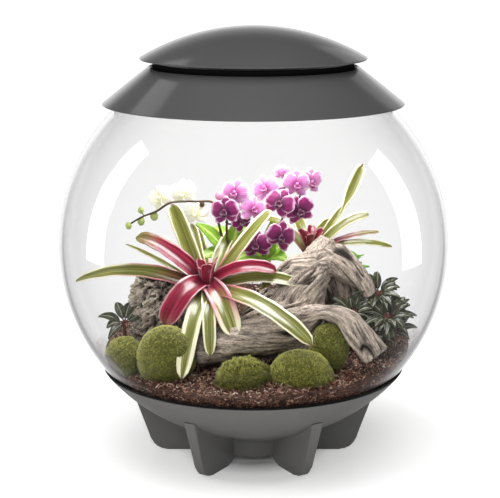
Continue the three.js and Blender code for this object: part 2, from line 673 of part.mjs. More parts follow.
place('base_stand', stand(), '#5d5d5f', 0.38);
place('seal_ring', sealRing(), '#1d1d1e', 0.6);
place('globe', globe(), '#f2f5f5', 0.03);
place('canopy_collar', collar(), '#555557', 0.3);
place('light_housing', lightHousing(), '#3c3c3e', 0.5);
place('light_diffuser', lightDiffuser(), '#f4f4f0', 0.4);
place('lid', lid(), '#555557', 0.3);

// Plants keep their whole shape. `taken` holds each, made slightly larger, for what comes after to clear.
const room = ball(inner - FIT);
const taken = [];

function plant(name, make, color, roughness = 0.55) {
  place(name, clearOf(make(0).intersect(room), taken), color, roughness);
  taken.push(make(TOUCH));
}

plant('bromeliad_leaves', (grow) => rosette(FRONT_CROWN, FRONT_LEAVES, grow), '#8aa048');
plant('bromeliad_heart', (grow) => heart(FRONT_CROWN, FRONT_HEART, grow), '#b02a44');
plant('rear_bromeliad_leaves', (grow) => rosette(REAR_CROWN, REAR_LEAVES, grow), '#93a854');
plant('rear_bromeliad_heart', (grow) => heart(REAR_CROWN, REAR_HEART, grow), '#a83040');
plant('orchid_leaves_left', (grow) => orchidLeaves(LEFT_ORCHID, LEFT_ORCHID_LEAVES, grow), '#8cc04a');
plant('orchid_leaves_right', (grow) => orchidLeaves(RIGHT_ORCHID, RIGHT_ORCHID_LEAVES, grow), '#7fae48');
plant('orchid_stem_left', buddedStem, '#4a3526');
plant('orchid_stem_low', (grow) => stem(STEM_LOW, 1.4, grow), '#4a3526');
const forkedStem = (grow) => joined([stem(STEM_RIGHT, 1.5, grow), stem(STEM_FAR, 1.3, grow)]);
plant('orchid_stem_right', forkedStem, '#4a3526');
plant('white_spray_stem', whiteSprayStem, '#5c5a34');
for (const one of PURPLE_BLOOMS) {
  const mauve = one.name.includes('mauve');
  const usual = mauve ? MAUVE_SIZE : PURPLE_SIZE;
  const size = one.name === 'bloom_mauve_4' ? TOP_BLOOM_SIZE : usual;
  plant(one.name, (grow) => bloom(one, size, grow), mauve ? '#c76ac0' : '#9b1f86', 0.5);
}
for (const one of WHITE_BLOOMS) plant(one.name, (grow) => bloom(one, WHITE_SIZE, grow), '#f4f2e6', 0.5);
plant('peperomia_right', (grow) => peperomia(RIGHT_ROOT, RIGHT_CROWNS, grow), '#4a5148');
plant('peperomia_cave', (grow) => peperomia(CAVE_ROOT, CAVE_CROWNS, grow), '#4d3b38');
plant('peperomia_left', (grow) => peperomia(LEFT_ROOT, LEFT_CROWNS, grow), '#46524a');
plant('small_vine', vine, '#6aa83c');

// Wood, bark and moss give way to the plants and to what was laid before them, and rest on the soil.
function lay(name, make, color, roughness) {
  place(name, clearOf(make(0).intersect(room), [...taken, ...laid]), color, roughness);
  laid.push(make(TOUCH));
}

const laid = [groundBlock(TOUCH)];
const wood = (grow) => joined(WOOD_LIMBS.map((points, phase) => limb(points, phase, grow)));
lay('driftwood_root', wood, '#a39a8c', 0.85);
lay('bark_stump', (grow) => limb(STUMP, 1, grow), '#5a4a3c', 0.95);
for (const moss of MOSSES) lay(moss.name, (grow) => mossCushion(moss, grow), '#5f7a22', 0.95);

place('soil', clearOf(groundBlock(0).intersect(room), taken), '#6b4632', 0.95);

export default group;
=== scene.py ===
"""Globe terrarium on a grey moulded stand: the looks of its vessel, ground and plants.

Shapes are worked out in millimetres, +Z up, front towards -Y, and become metres where a mesh is made.
"""

import json
import math

import bmesh
import bpy
import numpy as np
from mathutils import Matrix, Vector

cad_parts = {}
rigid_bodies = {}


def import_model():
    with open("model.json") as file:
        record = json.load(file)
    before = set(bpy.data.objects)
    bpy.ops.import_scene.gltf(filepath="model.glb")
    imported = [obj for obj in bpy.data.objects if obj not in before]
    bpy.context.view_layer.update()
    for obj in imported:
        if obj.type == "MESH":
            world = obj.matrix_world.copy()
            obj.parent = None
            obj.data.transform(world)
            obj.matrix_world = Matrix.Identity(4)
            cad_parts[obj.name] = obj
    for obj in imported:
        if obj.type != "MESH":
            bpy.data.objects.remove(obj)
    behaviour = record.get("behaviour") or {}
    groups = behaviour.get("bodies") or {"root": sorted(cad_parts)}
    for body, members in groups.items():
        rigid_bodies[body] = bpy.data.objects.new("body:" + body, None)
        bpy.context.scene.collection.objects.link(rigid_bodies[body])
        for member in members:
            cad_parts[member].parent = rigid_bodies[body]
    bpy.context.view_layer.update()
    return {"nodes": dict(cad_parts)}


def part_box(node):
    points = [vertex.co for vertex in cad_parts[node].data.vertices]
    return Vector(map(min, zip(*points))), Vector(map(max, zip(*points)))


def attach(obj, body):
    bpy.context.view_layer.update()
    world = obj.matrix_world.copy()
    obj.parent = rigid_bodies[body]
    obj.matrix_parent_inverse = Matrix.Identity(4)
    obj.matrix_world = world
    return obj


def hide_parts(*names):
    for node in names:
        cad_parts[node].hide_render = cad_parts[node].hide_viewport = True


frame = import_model()

bl_info = {
    "name": "Globe Terrarium",
    "version": (1, 0, 0),
    "blender": (4, 5, 0),
    "location": "View3D > Sidebar > Terrarium",
    "description": "Builds a planted globe terrarium: vessel, ground, plants and studio",
    "category": "Add Mesh",
}

MM = 0.001


def node_box(node):
    """Lowest and highest corner of a frame node, in millimetres."""
    return [np.array(corner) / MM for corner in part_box(node)]


# ---- Sizes from the frame ----
GLOBE_LOW, GLOBE_HIGH = node_box("globe")
GLOBE_RADIUS = GLOBE_HIGH[0]
GLOBE_CENTRE = GLOBE_LOW[2] + GLOBE_RADIUS
STAND_RIM = node_box("base_stand")[1][2]
SEAL_LOW, SEAL_HIGH = node_box("seal_ring")
COLLAR_LOW, COLLAR_HIGH = node_box("canopy_collar")
LID_LOW, LID_HIGH = node_box("lid")
GLASS_WALL = 5.0
FIT = 0.4
ROOM = GLOBE_RADIUS - GLASS_WALL - FIT  # radius of the space that plants and soil keep to
SEED = 20240


# ---- Colour and number helpers ----
def linear(code):
    """An sRGB hex colour as linear red, green, blue and a full alpha."""
    shares = [int(code[k:k + 2], 16) / 255 for k in (1, 3, 5)]
    return (*[s / 12.92 if s <= 0.04045 else ((s + 0.055) / 1.055) ** 2.4 for s in shares], 1.0)


def colour(name, description, code):
    """A colour setting, with an sRGB hex value as its default."""
    return bpy.props.FloatVectorProperty(
        name=name, description=description, subtype="COLOR", size=4, min=0, max=1, default=linear(code)
    )


def length(name, description, millimetres):
    """A length setting. The user sees it as a length, and it is kept in metres."""
    return bpy.props.FloatProperty(
        name=name, description=description, unit="LENGTH", subtype="DISTANCE", default=millimetres * MM
    )


def unit(vectors):
    """The same directions, each of length 1."""
    return vectors / np.maximum(np.linalg.norm(vectors, axis=-1, keepdims=True), 1e-9)


def ease(values, low, high):
    """0 below `low`, 1 above `high`, and smooth between them."""
    share = np.clip((values - low) / (high - low), 0, 1)
    return share * share * (3 - 2 * share)


def circle(count):
    """Angles of `count` points spread evenly round a circle."""
    return np.arange(count) * 2 * math.pi / count


def polar_points(radius, angle, height):
    """Points round the upright axis, from their radius, angle and height."""
    radius, angle, height = np.broadcast_arrays(radius, angle, height)
    return np.stack([radius * np.cos(angle), radius * np.sin(angle), height], -1)


def all_round(rows, columns):
    """Directions all round a ball, in rows from its top down to its foot."""
    polar = np.linspace(0, math.pi, rows)[:, None]
    return polar_points(np.sin(polar), circle(columns), np.cos(polar))


def lattice(cells, seed):
    """A random share for each whole-numbered cell. Big odd factors stir its place, so neighbours differ."""
    mixed = cells[..., 0] * 374761393 + cells[..., 1] * 668265263 + cells[..., 2] * 1274126177 + seed * 974711
    mixed = (mixed ^ (mixed >> 13)) * 1103515245 & 0x7FFFFFFF
    return ((mixed ^ (mixed >> 16)) & 0xFFFFFF) / 0xFFFFFF


def noise(points, seed):
    """Smooth noise from 0 to 1 at points, with features about one unit across."""
    whole = np.floor(points).astype(np.int64)
    share = points - whole
    share = share * share * (3 - 2 * share)
    total = np.zeros(points.shape[:-1])
    for corner in np.ndindex(2, 2, 2):
        weight = np.prod(np.where(corner, share, 1 - share), axis=-1)
        total += weight * lattice(whole + np.array(corner), seed)
    return total


def ridges(points, seed):
    """Noise folded into thin crests: 1 on a crest, 0 between them."""
    return 1 - np.abs(2 * noise(points, seed) - 1)


SOIL_FRONT, SOIL_BACK = 114.0, 142.0  # heights of the soil at the front and at the back of the glass
SOIL_TILT = 6.0  # how far it rises from the middle to the right
SOIL_REACH = 165.0  # from the axis to the glass, along the soil
SOIL_RIPPLE = 1.5


def ground_at(x, y):
    """Height of the soil, as the solid has it: higher at the back and a little at the right."""
    rise = (SOIL_BACK - SOIL_FRONT) / 2 * y + SOIL_TILT * x
    ripple = SOIL_RIPPLE * np.sin(x / 17) * np.cos(y / 21)
    return (SOIL_FRONT + SOIL_BACK) / 2 + rise / SOIL_REACH + ripple


# ---- Mesh helpers ----
class Form:
    """Points, faces and named point values, gathered part by part into one mesh."""

    def __init__(self):
        self.points = []
        self.faces = []
        self.values = {}
        self.size = 0

    def add(self, points, faces, **values):
        shape = points.shape[:-1]
        self.points.append(points.reshape(-1, 3))
        self.faces.append(faces + self.size)
        for name, value in values.items():
            spread = np.broadcast_to(value, shape) if np.ndim(value) <= len(shape) else value.reshape(-1, 3)
            self.values.setdefault(name, []).append(spread.reshape(-1) if spread.shape == shape else spread)
        self.size += int(np.prod(shape))

    def mesh(self, name):
        points = np.concatenate(self.points)
        faces = [face for part in self.faces for face in part.tolist()]
        mesh = bpy.data.meshes.new(name)
        mesh.from_pydata((points * MM).tolist(), [], faces)
        for value_name, parts in self.values.items():
            whole = np.concatenate(parts).astype(np.float32)
            kind = "FLOAT_VECTOR" if whole.ndim > 1 else "FLOAT"
            attribute = mesh.attributes.new(value_name, kind, "POINT")
            attribute.data.foreach_set("vector" if whole.ndim > 1 else "value", whole.ravel())
        mesh.shade_smooth()
        return mesh


def quads(rows, columns, closed=False):
    """Faces of a grid of points. A closed grid joins the end of each row to its start."""
    row = np.arange(rows - 1)[:, None] * columns
    column = np.arange(columns if closed else columns - 1)
    after = (column + 1) % columns
    corners = [row + column, row + after, row + after + columns, row + column + columns]
    return np.stack(corners, -1).reshape(-1, 4)


def inside_globe(points, gap=0.0):
    """Points, with those beyond the room inside the glass brought back to it."""
    middle = np.array([0, 0, GLOBE_CENTRE])
    away = points - middle
    reach = np.linalg.norm(away, axis=-1, keepdims=True)
    return middle + away * np.minimum(1, (ROOM - gap) / np.maximum(reach, 1e-6))


def cleaned(mesh, sharp=None):
    """Welds what a turned outline leaves at its poles, and turns all faces outwards."""
    work = bmesh.new()
    work.from_mesh(mesh)
    bmesh.ops.remove_doubles(work, verts=work.verts, dist=1e-6)
    bmesh.ops.recalc_face_normals(work, faces=work.faces)
    work.to_mesh(mesh)
    work.free()
    mesh.shade_smooth()
    if sharp:
        mesh.set_sharp_from_angle(angle=math.radians(sharp))
    return mesh


def piece(name, mesh, material, nodes, thickness=None):
    """Puts a mesh in the scene, riding on the root body, in place of the frame's nodes."""
    mesh.materials.clear()
    mesh.materials.append(material)
    made = bpy.data.objects.new(name, mesh)
    bpy.context.scene.collection.objects.link(made)
    if thickness:
        solid = made.modifiers.new("thickness", "SOLIDIFY")
        solid.thickness = thickness
        solid.offset = 0
    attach(made, "root")
    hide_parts(*nodes)
    return made


def spline(points, count):
    """A smooth line of `count` points through all the points given."""
    line = np.array(points, float)
    line = np.concatenate([2 * line[:1] - line[1:2], line, 2 * line[-1:] - line[-2:-1]])
    place = np.linspace(0, len(points) - 1, count)
    start = np.minimum(place.astype(int), len(points) - 2)
    t = (place - start)[:, None]
    a, b, c, d = (line[start + k] for k in range(4))
    square, cube = 2 * a - 5 * b + 4 * c - d, 3 * b - a - 3 * c + d
    return 0.5 * (2 * b + (c - a) * t + square * t ** 2 + cube * t ** 3)


def spread_out(values, count):
    """Values that stand evenly along a line, read at `count` places on it."""
    return np.interp(np.linspace(0, 1, count), np.linspace(0, 1, len(values)), values)


def frames(line, across):
    """Tangent, side and face direction at each point of a line."""
    tangent = unit(np.gradient(line, axis=0))
    side = unit(across - (tangent @ across)[:, None] * tangent)
    return tangent, side, np.cross(side, tangent)


STEM_ACROSS = np.array([0.6, 0.8, 0.1])  # a direction that no stem runs along
STEM_STEPS = 5  # rings from one point of a stem to the next


def tube(form, points, radii, sides=10, **values):
    """A round stem through points, closed at both ends. Its radii are spread evenly along it."""
    rows = STEM_STEPS * (len(points) - 1) + 1
    line = spline(points, rows)
    _, side, face = frames(line, STEM_ACROSS)
    radius = spread_out(radii, rows)
    angle = circle(sides)
    ring = side[:, None] * np.cos(angle)[:, None] + face[:, None] * np.sin(angle)[:, None]
    body = line[:, None] + ring * radius[:, None, None]
    ends = [np.repeat(line[k][None, None], sides, 1) for k in (0, -1)]
    whole = np.concatenate([ends[0], body, ends[1]])
    form.add(whole, quads(rows + 2, sides, closed=True), **values)


def bud(form, middle, radii, sides=12, **values):
    """A small egg-shaped body."""
    rows = 9
    form.add(middle + all_round(rows, sides) * radii, quads(rows, sides, closed=True), **values)


def scatter(form, shape, faces, places, axes, sizes, **values):
    """Copies of a small shape, laid along each place's three axes and stretched by its three sizes."""
    points = places[:, None] + np.einsum("mk,nk,nkj->nmj", shape, sizes, axes)
    steps = np.arange(len(places))[:, None, None] * len(shape)
    form.add(points, (faces + steps).reshape(-1, faces.shape[-1]), **values)


def lathe(profile, turns):
    """A mesh turned round the upright axis from an outline of (radius, height)."""
    outline = np.array(profile)
    points = polar_points(outline[:, :1], circle(turns), outline[:, 1:])
    form = Form()
    form.add(points, quads(len(outline), turns, closed=True))
    return cleaned(form.mesh("turned"), sharp=50)


def rounded(corners, steps=5):
    """An outline whose corners (radius, height, rounding) are rounded off."""
    outline = []
    places = [np.array(corner[:2], float) for corner in corners]
    for index, (place, corner) in enumerate(zip(places, corners)):
        if len(corner) < 3 or not corner[2]:
            outline.append(place)
            continue
        before = unit(places[index - 1] - place) * corner[2]
        after = unit(places[index + 1] - place) * corner[2]
        for t in np.linspace(0, 1, steps):
            outline.append(place + before * (1 - t) ** 2 + after * t ** 2)
    return outline


def ball_arc(radius, low, high, steps):
    """Outline points on a ball round the globe's centre, from one height to another."""
    start, end = (math.asin(np.clip((z - GLOBE_CENTRE) / radius, -1, 1)) for z in (low, high))
    angles = np.linspace(start, end, steps)
    return [(radius * math.cos(a), GLOBE_CENTRE + radius * math.sin(a)) for a in angles]


# ---- Material helpers ----
RGBA = {"data_type": "RGBA"}
MULTIPLY = {**RGBA, "blend_type": "MULTIPLY"}
SHARE, UNDER, OVER, MIXED = 0, 6, 7, 2  # sockets of a colour mix: its share, its two colours and its result


def add_node(tree, kind, settings=None, links=None):
    """Adds a node. A setting is an input's value, a property, or the stops of a colour ramp.

    A link comes from a socket, or from the first output of a node.
    """
    node = tree.nodes.new("ShaderNode" + kind)
    for key, value in (settings or {}).items():
        if key == "stops":
            for _ in range(len(value) - 2):
                node.color_ramp.elements.new(1.0)
            for element, (position, shade) in zip(node.color_ramp.elements, value):
                element.position = position
                element.color = linear(shade) if isinstance(shade, str) else shade
        elif isinstance(key, int) or key in node.inputs:
            node.inputs[key].default_value = value
        else:
            setattr(node, key, value)
    for key, source in (links or {}).items():
        socket = source.outputs[0] if isinstance(source, bpy.types.Node) else source
        tree.links.new(socket, node.inputs[key])
    return node


def new_material(name, sockets):
    """A material with one Principled shader, the given values on its sockets, its tree and its shader."""
    material = bpy.data.materials.new(name)
    material.use_nodes = True
    shader = material.node_tree.nodes["Principled BSDF"]
    for socket, value in sockets.items():
        shader.inputs[socket].default_value = value
    return material, material.node_tree, shader


def scale_for(size):
    """A texture's scale in the object's own space, for features `size` millimetres across."""
    return 1 / (size * MM)


# ---- Settings that a user would change ----
class VesselSettings(bpy.types.PropertyGroup):
    turns: bpy.props.IntProperty(
        name="Turns", description="Sides of each turned part", default=160, min=24, max=512
    )
    stand_colour: colour("Stand", "Colour of the moulded stand", "#676665")
    lid_colour: colour("Lid", "Colour of the collar and the lid", "#5c5b5b")
    glass_tint: colour("Glass", "Tint of the globe's wall", "#ffffff")


class GroundSettings(bpy.types.PropertyGroup):
    soil_chips: bpy.props.IntProperty(
        name="Chips", description="Coir chips on top of the soil", default=17000, min=0, max=60000
    )
    chip_length: length("Chip length", "Longest side of a usual coir chip", 5.2)
    moss_length: length("Moss length", "Length of one moss shoot", 1.5)
    moss_density: bpy.props.FloatProperty(
        name="Moss density", description="Moss shoots on each square millimetre", default=2.2, min=0.1, max=4
    )
    wood_voxel: length("Wood voxel", "Size of the driftwood's mesh", 1.15)
    crack_depth: length("Crack depth", "Depth of the driftwood's cracks", 5.0)
    wood_colour: colour("Driftwood", "Weathered face of the driftwood", "#c6b6a8")
    moss_colour: colour("Moss", "Lit tips of the moss", "#dbd86a")


class PlantSettings(bpy.types.PropertyGroup):
    leaf_thickness: length("Leaf thickness", "Thickness of a leaf", 0.9)
    petal_thickness: length("Petal thickness", "Thickness of a petal", 0.6)
    olive: colour("Olive", "Middle of a bromeliad leaf", "#74772f")
    cream: colour("Cream", "Margin of a bromeliad leaf", "#ece6c6")
    crimson: colour("Crimson", "Heart of a bromeliad", "#8e1535")
    purple: colour("Purple", "Petals of the near orchids", "#86185f")
    mauve: colour("Mauve", "Petals of the far orchids", "#cb8cba")
    white: colour("White", "Petals of the white spray", "#e6e3d4")
    orchid_green: colour("Orchid leaf", "Leaves of the orchids", "#9dcb48")


class StageSettings(bpy.types.PropertyGroup):
    distance: length("Distance", "From the camera to the middle of the globe", 1600)
    elevation: bpy.props.FloatProperty(
        name="Elevation", description="Camera height above the horizon", subtype="ANGLE",
        default=math.radians(12),
    )
    softbox: bpy.props.FloatProperty(
        name="Softboxes", description="Radiance of the two tall softboxes", default=6.0, min=0
    )


# ---- Materials of the vessel ----
def moulded_plastic(name, shade, roughness, grit):
    """ABS, injection moulded in one grey: an even satin shell whose fine grit only softens the highlights."""
    material, tree, shader = new_material(name, {"Roughness": roughness, "IOR": 1.54})
    place = add_node(tree, "TexCoord").outputs["Object"]
    # The colour pigment settles unevenly over a hand's width, by a few per cent.
    settled = add_node(tree, "TexNoise", {"Scale": scale_for(90), "Detail": 2}, {"Vector": place})
    darker = [channel * 0.93 for channel in shade[:3]] + [1]
    ramp = add_node(tree, "ValToRGB", {"stops": [(0.3, darker), (0.7, list(shade))]}, {"Fac": settled})
    tree.links.new(ramp.outputs["Color"], shader.inputs["Base Color"])
    # Real mould grit is about 0.1 mm, too fine to show, so it is drawn coarser.
    gritty = add_node(tree, "TexNoise", {"Scale": scale_for(grit), "Detail": 2}, {"Vector": place})
    bump = add_node(tree, "Bump", {"Strength": 0.35, "Distance": 0.03 * MM}, {"Height": gritty})
    tree.links.new(bump.outputs["Normal"], shader.inputs["Normal"])
    return material


def painted_groove_shade(material, shade):
    """Paints shade into a moulding where it stands in the finger groove under the lid, and makes it matt
    there.
    """
    tree = material.node_tree
    shader = tree.nodes["Principled BSDF"]
    place = add_node(tree, "SeparateXYZ", {}, {0: add_node(tree, "TexCoord").outputs["Object"]})
    flat = add_node(tree, "CombineXYZ", {}, {"X": place.outputs["X"], "Y": place.outputs["Y"]})
    reach = add_node(tree, "VectorMath", {"operation": "LENGTH"}, {0: flat})
    near = [(NECK_OUTER + 4) * MM, (NECK_OUTER + 1) * MM]
    inward = add_node(
        tree, "MapRange", {"From Min": near[0], "From Max": near[1]}, {"Value": reach.outputs["Value"]}
    )
    colour_now = shader.inputs["Base Color"].links[0].from_socket
    # Painted shade: the groove is darkened towards the neck.
    darker = add_node(tree, "Mix", {**RGBA, OVER: linear(shade)}, {SHARE: inward, UNDER: colour_now})
    tree.links.new(darker.outputs[MIXED], shader.inputs["Base Color"])
    matt = add_node(
        tree, "MapRange", {"To Min": shader.inputs["Roughness"].default_value, "To Max": 0.95},
        {"Value": inward},
    )
    tree.links.new(matt.outputs[0], shader.inputs["Roughness"])
    gloss = add_node(tree, "MapRange", {"To Min": 0.5, "To Max": 0.1}, {"Value": inward})
    tree.links.new(gloss.outputs[0], shader.inputs["Specular IOR Level"])
    return material


def silicone():
    """Black silicone, moulded: a matt line round the foot of the globe."""
    material, tree, shader = new_material("silicone_black", {"Roughness": 0.62, "IOR": 1.41})
    place = add_node(tree, "TexCoord").outputs["Object"]
    dust = add_node(tree, "TexNoise", {"Scale": scale_for(6), "Detail": 4}, {"Vector": place})
    stops = [(0.35, "#0d0d0e"), (0.8, "#1d1d1e")]
    ramp = add_node(tree, "ValToRGB", {"stops": stops}, {"Fac": dust})
    tree.links.new(ramp.outputs["Color"], shader.inputs["Base Color"])
    return material


def blown_glass(tint):
    """Clear soda glass, blown: no colour, a bright skin of reflections, and light passes into the globe."""
    sockets = {"Base Color": tuple(tint), "Roughness": 0.0, "IOR": 1.5, "Transmission Weight": 1.0}
    material, tree, shader = new_material("glass_clear", sockets)
    lets_through = add_node(tree, "BsdfTransparent", {"Color": (0.96, 0.97, 0.97, 1)})
    path = add_node(tree, "LightPath")
    surface = shader
    for ray in ("Is Diffuse Ray", "Is Shadow Ray"):
        links = {0: path.outputs[ray], 1: surface.outputs[0], 2: lets_through.outputs[0]}
        surface = add_node(tree, "MixShader", {}, links)
    tree.links.new(surface.outputs[0], tree.nodes["Material Output"].inputs["Surface"])
    # Blowing leaves slow waves of a few centimetres in the wall.
    place = add_node(tree, "TexCoord").outputs["Object"]
    waves = add_node(tree, "TexNoise", {"Scale": scale_for(60), "Detail": 1}, {"Vector": place})
    bump = add_node(tree, "Bump", {"Strength": 0.12, "Distance": 0.25 * MM}, {"Height": waves})
    tree.links.new(bump.outputs["Normal"], shader.inputs["Normal"])
    return material


def frosted_polycarbonate():
    """Opal polycarbonate sheet, extruded: a milky white lamp cover."""
    sockets = {"Roughness": 0.45, "IOR": 1.58, "Transmission Weight": 0.25}
    material, tree, shader = new_material("polycarbonate_opal", sockets)
    place = add_node(tree, "TexCoord").outputs["Object"]
    cloudy = add_node(tree, "TexNoise", {"Scale": scale_for(25), "Detail": 3}, {"Vector": place})
    stops = [(0.3, "#e9eae6"), (0.7, "#f4f5f1")]
    ramp = add_node(tree, "ValToRGB", {"stops": stops}, {"Fac": cloudy})
    tree.links.new(ramp.outputs["Color"], shader.inputs["Base Color"])
    return material


# ---- Materials of the ground ----
def coir():
    """Coir and bark chips, shredded: reddish-brown crumbs, each of its own shade, some straw-coloured."""
    material, tree, shader = new_material("coir_chips", {"Roughness": 0.86, "IOR": 1.5})
    stops = [(0.0, "#1f130e"), (0.2, "#6a483c"), (0.5, "#a97b66"), (0.8, "#d5ae96"), (1.0, "#f6e8d8")]
    tone = add_node(tree, "Attribute", {"attribute_name": "tone"}).outputs["Fac"]
    ramp = add_node(tree, "ValToRGB", {"stops": stops}, {"Fac": tone})
    place = add_node(tree, "TexCoord").outputs["Object"]
    fibre = add_node(tree, "TexNoise", {"Scale": scale_for(0.8), "Detail": 4}, {"Vector": place})
    shade = add_node(tree, "Mix", {**MULTIPLY, SHARE: 0.45}, {UNDER: ramp, OVER: fibre.outputs["Color"]})
    tree.links.new(shade.outputs[MIXED], shader.inputs["Base Color"])
    bump = add_node(tree, "Bump", {"Strength": 0.6, "Distance": 0.3 * MM}, {"Height": fibre})
    tree.links.new(bump.outputs["Normal"], shader.inputs["Normal"])
    return material


def weathered_wood(name, face, dark, streak, roughness=0.8):
    """Driftwood, washed and bleached: silver-brown ribs along the grain, near-black cracks between that are
    partly painted shade, and painted shade in hollows and undersides.
    """
    material, tree, shader = new_material(name, {"Roughness": roughness, "IOR": 1.5})
    along = add_node(tree, "Attribute", {"attribute_name": "grain"}).outputs["Vector"]
    # The mesh keeps the grain's space in millimetres, and `streak` is the width of a rib in it.
    coarse = add_node(
        tree, "TexNoise", {"Scale": 1 / streak, "Detail": 5, "Roughness": 0.65}, {"Vector": along}
    )
    fine = add_node(tree, "TexNoise", {"Scale": 5 / streak, "Detail": 4}, {"Vector": along})
    pale = [min(1, channel * 1.5) for channel in face[:3]] + [1]
    mid = [channel * 0.24 for channel in face[:3]] + [1]
    ribs = add_node(
        tree, "ValToRGB", {"stops": [(0.36, mid), (0.5, list(face)), (0.64, pale)]}, {"Fac": coarse}
    )
    lines = add_node(tree, "ValToRGB", {"stops": [(0.36, "#8c8276"), (0.56, "#ffffff")]}, {"Fac": fine})
    washed = add_node(tree, "Mix", {**MULTIPLY, SHARE: 0.75}, {UNDER: ribs, OVER: lines})
    # The dark mark holds the cracks, partly painted shade in them, and painted shade in low places.
    cracked_and_shaded = add_node(tree, "Attribute", {"attribute_name": "crack"}).outputs["Fac"]
    crack = add_node(tree, "MapRange", {"From Min": 0.25, "From Max": 0.85}, {"Value": cracked_and_shaded})
    # Painted shade: hollows and the undersides, where the surface is closed in, are darker.
    open_sky = add_node(tree, "AmbientOcclusion", {"Distance": 0.016, "samples": 8})
    closed = add_node(
        tree, "MapRange", {"From Min": 0.72, "From Max": 0.28}, {"Value": open_sky.outputs["AO"]}
    )
    cracks_and_painted_shade = add_node(tree, "Math", {"operation": "MAXIMUM"}, {0: crack, 1: closed})
    shade = add_node(tree, "Mix", {**RGBA, OVER: linear(dark)}, {SHARE: cracks_and_painted_shade, UNDER: washed.outputs[MIXED]})
    tree.links.new(shade.outputs[MIXED], shader.inputs["Base Color"])
    both = add_node(tree, "Math", {"operation": "MULTIPLY"}, {0: coarse, 1: fine})
    bump = add_node(tree, "Bump", {"Strength": 0.9, "Distance": 1.6 * MM}, {"Height": both})
    tree.links.new(bump.outputs["Normal"], shader.inputs["Normal"])
    return material


def moss(name, lit):
    """Cushion moss, living: short upright shoots, dark at the foot and yellow-green at the tip."""
    material, tree, shader = new_material(name, {"Roughness": 0.75, "IOR": 1.4, "Sheen Weight": 0.25})
    foot = linear("#34350f")
    middle = [channel * 0.5 for channel in lit[:3]] + [1]
    stops = [(0.0, foot), (0.45, middle), (1.0, list(lit))]
    tip, tone = (
        add_node(tree, "Attribute", {"attribute_name": key}).outputs["Fac"] for key in ("tip", "tone")
    )
    ramp = add_node(tree, "ValToRGB", {"stops": stops}, {"Fac": tip})
    # This second mark is random in part and partly painted light and shade, lighter where the shoots face the
    # light.
    tones = [(0.0, "#4a4a30"), (0.45, "#b9bd8c"), (1.0, "#ffffff")]
    toned = add_node(tree, "ValToRGB", {"stops": tones}, {"Fac": tone})
    shade = add_node(tree, "Mix", {**MULTIPLY, SHARE: 0.9}, {UNDER: ramp, OVER: toned})
    tree.links.new(shade.outputs[MIXED], shader.inputs["Base Color"])
    return material


